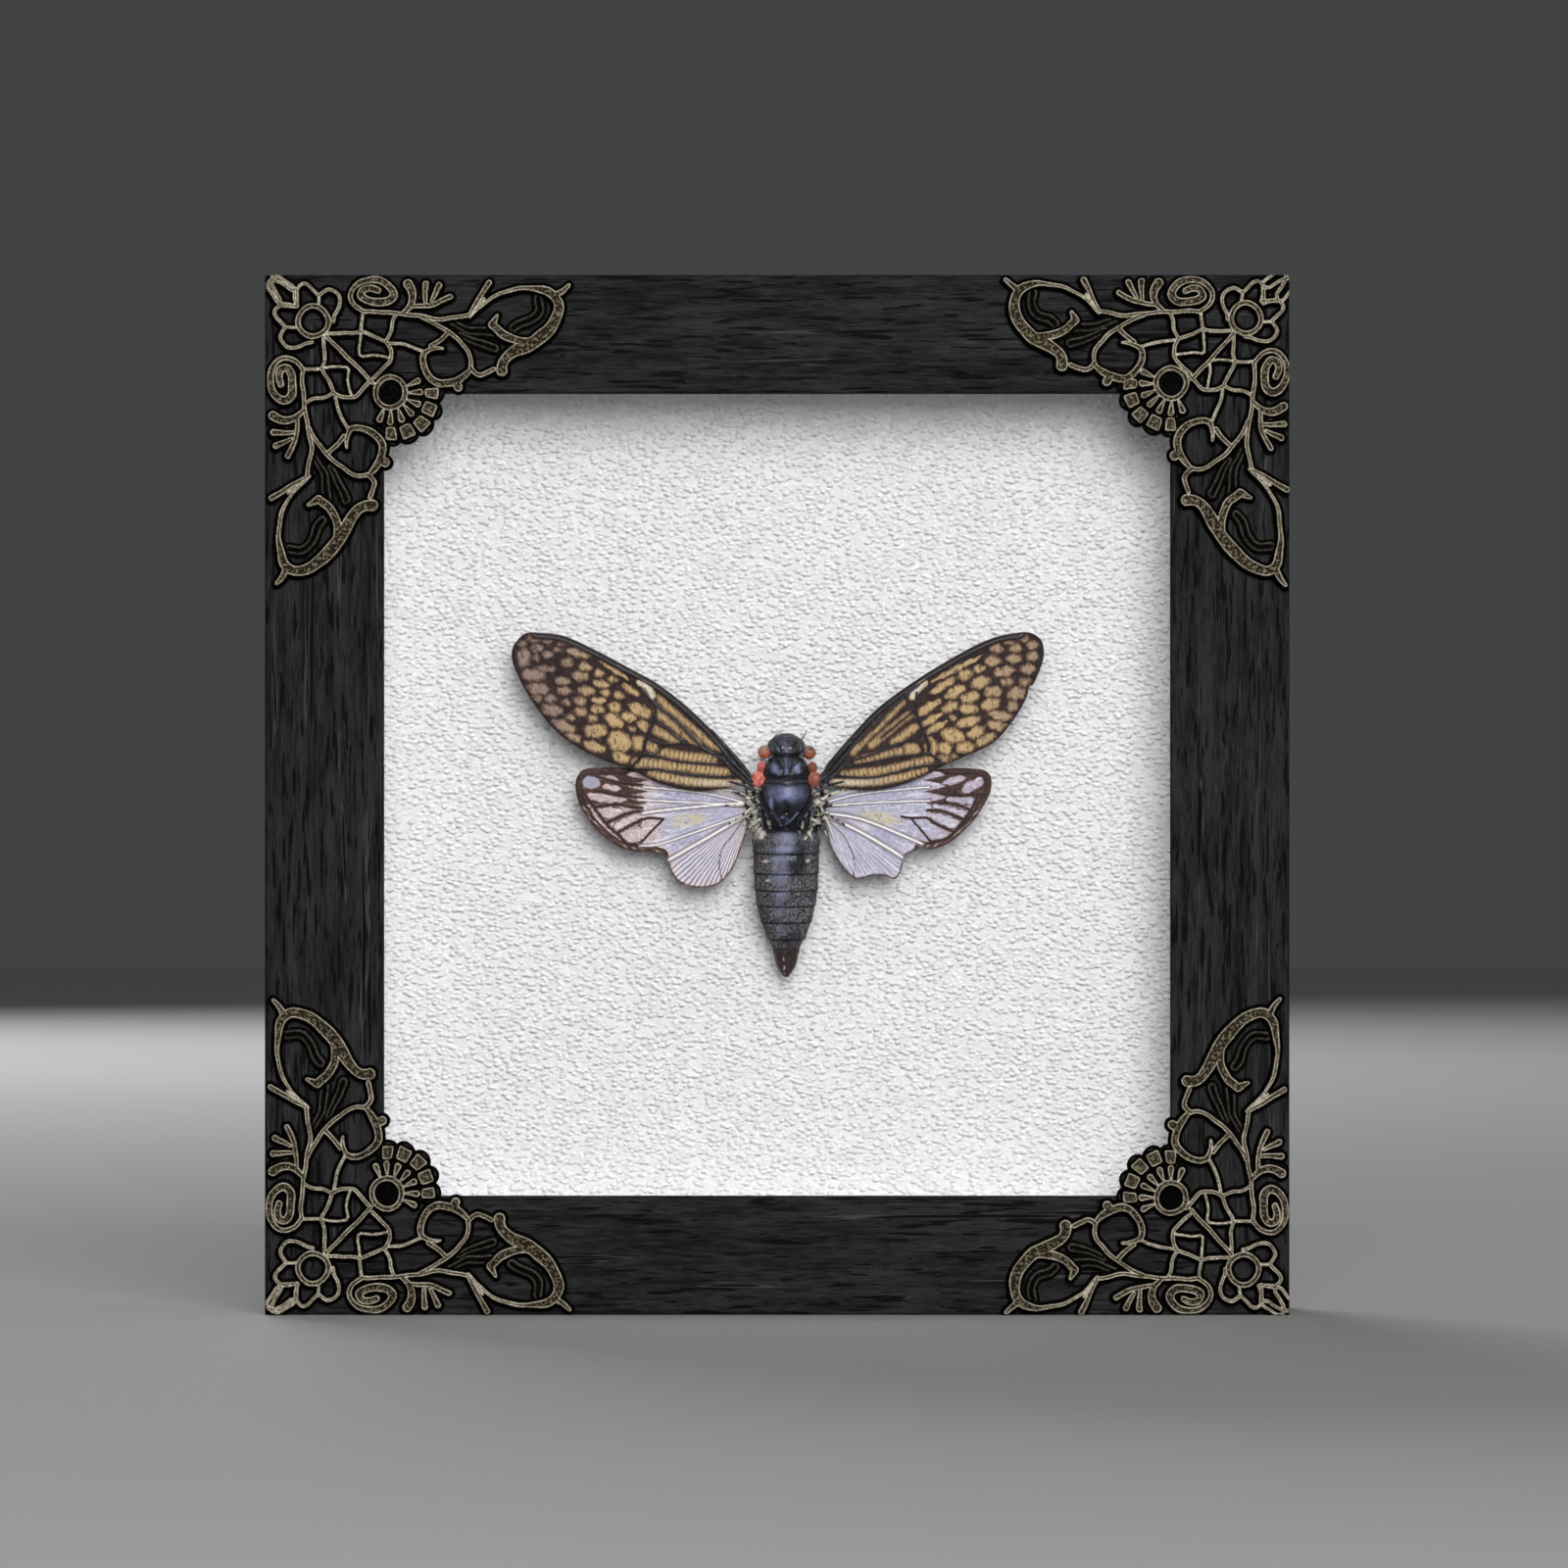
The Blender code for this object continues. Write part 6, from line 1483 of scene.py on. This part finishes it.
def lobe_material():
    material, tree, shader = new_material("coral shell lobe")
    vector = placed(tree)
    grain = noise(tree, vector, 2600.0, 3.0, 0.65)
    cloud = noise(tree, vector, 900.0, 2.0)
    color = layered(tree, LOBE_RED, (between(tree, cloud, 0.35, 0.65), LOBE_CORAL),
                    (between(tree, grain, 0.52, 0.75, 0.0, 0.3), LOBE_GRAIN),
                    (between(tree, grain, 0.44, 0.30, 0.0, 0.6), LOBE_PIT),
                    (attribute(tree, "darkness"), LOBE_DULL),
                    (times(tree, attribute(tree, "rim"), 0.25), LOBE_RIM))
    set_inputs(tree, shader, {
        "Base Color": color, "Roughness": between(tree, grain, 0.3, 0.7, 0.4, 0.55),
        "Specular IOR Level": 0.04, "Coat Weight": 0.35, "Coat Roughness": 0.08,
        "Normal": bumped(tree, times(tree, cloud, 3.0, grain), 0.16 * MM)})
    return material


def ocellus_material():
    material, tree, shader = new_material("glassy speck")
    cloud = noise(tree, placed(tree), 3000.0, 2.0)
    set_inputs(tree, shader, {
        "Base Color": blend(tree, cloud, SPECK_AMBER, SPECK_PALE),
        "Roughness": 0.15, "Coat Weight": 0.6})
    return material


def add_part(name, points, faces, material, values):
    """A part of the specimen that stands for some of its shell."""
    part = new_piece(name, points, faces, material)
    face_outwards(part)
    for label, numbers in values.items():
        store(part, label, numbers)
    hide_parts("cicada_body")
    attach(part, "root")


eye_red = eye_material()
for name, (centre, halves, darkness) in zip(("left", "right"), EYES):
    points, faces, way = ball(centre, halves)
    add_part("cicada_eye_" + name, points, faces, eye_red,
             {"height": way[:, 2], "darkness": np.full(len(points), darkness)})
coral = lobe_material()
for number, (centre, halves, darkness) in enumerate(LOBES, 1):
    points, faces, way = ball(centre, halves)
    add_part("cicada_lobe_" + str(number), points, faces, coral,
             {"rim": ramped(-way[:, 1], 0.75, 0.3), "darkness": np.full(len(points), darkness)})
points, faces = joined([ball(centre, halves, 8, 12)[:2] for centre, halves in OCELLI])
add_part("cicada_ocelli", points, faces, ocellus_material(), {})


# The hinges: crumpled pale skin between the thorax and the roots of the wings. Four
# overlapping balls on either side, creased by waves that run across one another.

# Centre and half sizes on the right-hand side, and how deep the creases are
FOLD_DEPTH = 0.2
HINGES = [((5.3, -1.1, -1.2), (1.7, 1.0, 1.1)), ((5.7, -1.0, -3.2), (1.3, 1.0, 1.3)),
          ((5.5, -0.9, -5.4), (1.05, 0.9, 1.5)), ((5.0, -0.8, -7.1), (0.8, 0.9, 0.9))]
for side_name, side in SIDES:
    lumps = []
    for (hinge_x, hinge_y, hinge_z), halves in HINGES:
        points, faces, way = ball((side * hinge_x, hinge_y, hinge_z), halves, 44, 44)
        u, v, w = (points / MM).T
        folds = np.sin(u * 6 + 2 * np.sin(w * 4)) * np.sin(w * 7 + 1.5 * np.sin(u * 5) + v)
        lumps.append((points + way * (FOLD_DEPTH * folds * MM)[:, None], faces))
    points, faces = joined(lumps)
    plain = dict.fromkeys(("nap", "sheen", "seam", "sheath", "side"), np.zeros(len(points)))
    add_part("cicada_hinge_" + side_name, points, faces, shell,
             {"cream": np.full(len(points), 0.6), **plain})


# Legs, beak and antennae: jointed rods of the same shell as the body. The legs and the beak
# are folded underneath and don't show from the front; the antennae are finer than a hair.

# Radius at root and tip, and the line
RODS = {
    "cicada_beak": [(0.5, 0.2, [(0.0, 3.2, 3.9), (0.0, 4.1, 2.9), (0.0, 4.2, 0.8),
                                (0.0, 4.2, -1.6)])],
    "cicada_antennae": [
        (0.13, 0.06, [(2.3, -0.8, 7.1), (2.75, -0.9, 7.75), (3.05, -1.1, 8.1), (3.3, -1.2, 8.55)]),
        (0.12, 0.06, [(-2.3, -0.9, 7.2), (-1.95, -1.6, 7.85), (-1.3, -2.0, 8.45),
                      (-0.5, -2.2, 8.85)])],
}
# Black ribs and pale stalks that carry the wings' roots, drawn for the right-hand side
WING_RIBS = [
    (0.26, 0.4, [(12.6, -2.1, 9.1), (10.8, -2.25, 7.1), (8.2, -2.3, 4.1), (5.8, -2.1, 1.1)]),
    (0.22, 0.36, [(12.4, -2.1, 7.6), (10.7, -2.25, 5.8), (8.1, -2.3, 2.8), (5.6, -2.2, 0.2)]),
    (0.2, 0.32, [(10.6, -2.1, 4.4), (9.3, -2.2, 2.8), (7.5, -2.2, 1.1), (5.5, -2.1, -0.4)]),
    (0.18, 0.3, [(9.6, -2.1, 0.4), (8.2, -2.2, 0.1), (6.8, -2.1, -0.4), (5.0, -2.2, -1.2)]),
]
WING_STALKS = [
    (0.16, 0.34, [(11.2, -1.1, -0.9), (9.0, -1.3, -1.2), (6.8, -1.6, -2.1), (4.9, -2.0, -3.3)]),
    (0.14, 0.3, [(10.2, -1.0, -3.6), (8.3, -1.1, -3.6), (6.6, -1.3, -3.5), (5.2, -1.6, -3.2)]),
    (0.16, 0.3, [(9.8, -1.0, -6.8), (8.2, -1.2, -5.8), (7.0, -1.4, -5.0), (5.7, -1.5, -4.0)]),
    (0.14, 0.26, [(7.9, -1.0, -9.2), (7.2, -1.2, -7.2), (6.5, -1.3, -5.6), (5.4, -1.5, -4.9)]),
    (0.12, 0.26, [(6.8, -1.0, -8.6), (6.2, -1.2, -7.4), (5.2, -1.5, -6.4), (4.2, -2.0, -5.8)]),
]
for side_name, side in SIDES:
    for kind, drawn in (("rib", WING_RIBS), ("stalk", WING_STALKS)):
        RODS[f"cicada_wing_{kind}s_{side_name}"] = [
            (tip, root, [(side * x, y, z) for x, y, z in line]) for tip, root, line in drawn]
LEG_LINES = [
    [(1.6, 3.0, 3.4), (2.7, 4.1, 4.4), (2.0, 4.25, 5.5), (1.3, 4.2, 6.4)],
    [(1.8, 3.2, -0.4), (3.4, 4.1, -2.4), (2.8, 4.25, -3.8), (2.2, 4.2, -5.2)],
    [(1.6, 3.2, -4.4), (3.6, 4.1, -6.8), (3.0, 4.25, -8.6), (2.4, 4.2, -10.4)],
]
for number, leg in enumerate(LEG_LINES, 1):
    for side_name, side in SIDES:
        RODS[f"cicada_leg_{number}_{side_name}"] = [
            (0.48, 0.2, [(side * x, y, z) for x, y, z in leg])]


def rod_tree():
    """Geometry nodes: a tapering round rod along every line of the mesh it is given."""
    tree = bpy.data.node_groups.new("rod along a line", "GeometryNodeTree")
    for label, kind in (("Geometry", "NodeSocketGeometry"), ("Sides", "NodeSocketInt"),
                        ("Material", "NodeSocketMaterial")):
        tree.interface.new_socket(label, in_out="INPUT", socket_type=kind)
    tree.interface.new_socket("Geometry", in_out="OUTPUT", socket_type="NodeSocketGeometry")
    given = tree.nodes.new("NodeGroupInput").outputs
    result = tree.nodes.new("NodeGroupOutput")

    def step(kind, inputs, **settings):
        return add_node(tree, "GeometryNode" + kind, inputs, **settings).outputs[0]

    line = step("MeshToCurve", {"Mesh": given["Geometry"]})
    smooth = step("CurveSplineType", {"Curve": line}, spline_type="CATMULL_ROM")
    fine = step("ResampleCurve", {"Curve": smooth, "Count": 24})
    radius = step("InputNamedAttribute", {"Name": "radius"}, data_type="FLOAT")
    sized = step("SetCurveRadius", {"Curve": fine, "Radius": radius})
    round_one = step("CurvePrimitiveCircle", {"Resolution": given["Sides"], "Radius": 1.0})
    rod = step("CurveToMesh", {"Curve": sized, "Profile Curve": round_one, "Scale": radius,
                               "Fill Caps": True})
    single = step("RealizeInstances", {0: step("SetShadeSmooth", {0: rod})})
    painted = step("SetMaterial", {"Geometry": single, "Material": given["Material"]})
    tree.links.new(painted, result.inputs[0])
    return tree


def grown(name, mesh, tree, values):
    """The mesh that a geometry tree makes of another, as a plain object."""
    seed = bpy.data.objects.new(name + "_seed", mesh)
    bpy.context.scene.collection.objects.link(seed)
    modifier = seed.modifiers.new("growth", "NODES")
    modifier.node_group = tree
    for item in tree.interface.items_tree:
        if item.item_type == "SOCKET" and item.in_out == "INPUT" and item.name in values:
            modifier[item.identifier] = values[item.name]
    made = bpy.data.meshes.new_from_object(seed.evaluated_get(
        bpy.context.evaluated_depsgraph_get()))
    made.name = name
    seed.modifiers.remove(modifier)
    bpy.data.objects.remove(seed, do_unlink=True)
    piece = bpy.data.objects.new(name, made)
    bpy.context.scene.collection.objects.link(piece)
    return piece


def line_mesh(name, rods):
    """Edges along each rod's points, with the rod's radius at every point."""
    points, edges, radii = [], [], []
    for root, tip, line in rods:
        first = len(points)
        points += [tuple(SPECIMEN + np.array(point) * MM) for point in line]
        edges += [(first + k, first + k + 1) for k in range(len(line) - 1)]
        radii += list(np.linspace(root, tip, len(line)) * MM)
    mesh = bpy.data.meshes.new(name)
    mesh.from_pydata(points, edges, [])
    layer = mesh.attributes.new("radius", "FLOAT", "POINT")
    layer.data.foreach_set("value", np.array(radii, np.float32))
    return mesh


rods = rod_tree()
for name, lines in RODS.items():
    rod = grown(name, line_mesh(name + "_line", lines), rods, {"Sides": 12, "Material": shell})
    tone = {"nap": 0.3, "sheen": 0.0, "seam": 0.0, "sheath": 0.0, "side": 0.0,
            "cream": 2.6 if "stalk" in name else 0.0}
    for label, value in tone.items():
        store(rod, label, np.full(len(rod.data.vertices), value))
    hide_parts("cicada_body")
    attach(rod, "root")


# What closes the back: a grey board, eight flat steel points and a toothed steel hanger.

BOARD_BROWN = (0.25, 0.235, 0.205, 1)
BOARD_GREY = (0.42, 0.40, 0.355, 1)
BOARD_FLECK = (0.14, 0.12, 0.10, 1)
ZINC_BLUE = (0.46, 0.47, 0.49, 1)
ZINC_WHITE = (0.66, 0.66, 0.65, 1)


def grey_board():
    material, tree, shader = new_material("grey board")
    fibre = noise(tree, placed(tree, (0.25, 1, 1)), 1800.0, 4.0, 0.65)
    flecks = between(tree, noise(tree, placed(tree), 900.0, 2.0), 0.64, 0.72)
    color = blend(tree, fibre, BOARD_BROWN, BOARD_GREY)
    set_inputs(tree, shader, {
        "Base Color": blend(tree, times(tree, flecks, 0.5), color, BOARD_FLECK),
        "Roughness": 0.9, "Normal": bumped(tree, fibre, 0.05 * MM)})
    return material


def bright_steel():
    material, tree, shader = new_material("bright zinc plate")
    brushed = noise(tree, placed(tree, (0.04, 1, 1)), 2600.0, 3.0, 0.6)
    spots = noise(tree, placed(tree), 260.0, 3.0)
    set_inputs(tree, shader, {
        "Base Color": blend(tree, spots, ZINC_BLUE, ZINC_WHITE),
        "Metallic": 1.0, "Roughness": between(tree, brushed, 0.3, 0.7, 0.28, 0.42),
        "Normal": bumped(tree, brushed, 0.006 * MM)})
    return material


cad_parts["backing_board"].data.materials[0] = grey_board()
steel = bright_steel()
for name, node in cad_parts.items():
    if name.startswith("board_point") or name == "hanger":
        node.data.materials[0] = steel


# The room: a plain pale floor, one broad soft lamp above the camera and a little to its
# right, a weaker one behind, and the camera straight in front. The plain display transform
# keeps the black wood black and the wings' colours as they are mixed.

FLOOR_LOW = (0.62, 0.62, 0.62, 1)
FLOOR_HIGH = (0.66, 0.66, 0.655, 1)


def stage_material():
    material, tree, shader = new_material("plain pale paint")
    set_inputs(tree, shader, {
        "Base Color": blend(tree, noise(tree, placed(tree), 3.0), FLOOR_LOW, FLOOR_HIGH),
        "Roughness": 0.9})
    return material


floor = new_piece("floor", [(-3, -2.5, 0), (3, -2.5, 0), (3, 3, 0), (-3, 3, 0)], [(0, 1, 2, 3)],
                  stage_material(), smooth=False)
# The floor throws no light back on the object, because the photo's dark one doesn't
floor.visible_diffuse = False
floor.visible_transmission = False
floor.visible_glossy = False


def soft_lamp(name, place, size, power):
    lamp = bpy.data.lights.new(name, "AREA")
    lamp.shape = "RECTANGLE"
    lamp.size, lamp.size_y = size
    lamp.energy = power
    item = bpy.data.objects.new(name, lamp)
    item.location = place
    item.rotation_euler = (Vector(place) - LAMP_AIM).to_track_quat("Z", "Y").to_euler()
    bpy.context.scene.collection.objects.link(item)


LAMP_AIM = Vector((0.0, 0.0, 0.088))
soft_lamp("key lamp", (0.29, -1.95, 0.78), (1.12, 1.06), 23.5)
soft_lamp("back lamp", (-0.6, 1.7, 0.9), (0.9, 0.9), 13.0)
WORLD_TINT = (0.96, 0.98, 1.0, 1)
WORLD_STRENGTH = 0.0566
world = bpy.data.worlds.new("studio")
world.use_nodes = True
background = world.node_tree.nodes["Background"]
background.inputs["Color"].default_value = WORLD_TINT
background.inputs["Strength"].default_value = WORLD_STRENGTH
bpy.context.scene.world = world

CAMERA_AWAY = 1.6
PICTURE_WIDE = 0.2598
CAMERA_X = 1.14 * MM
CAMERA_Z = 88.1 * MM
camera = bpy.data.cameras.new("camera")
camera.sensor_width = 36.0
camera.lens = camera.sensor_width * CAMERA_AWAY / PICTURE_WIDE
camera.clip_start = 0.05
camera.clip_end = 30.0
viewer = bpy.data.objects.new("camera", camera)
viewer.location = (CAMERA_X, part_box("corner_casting_top_left")[0][1] - CAMERA_AWAY, CAMERA_Z)
viewer.rotation_euler = (math.radians(90), 0, 0)
bpy.context.scene.collection.objects.link(viewer)
bpy.context.scene.camera = viewer
bpy.context.scene.view_settings.view_transform = "Standard"
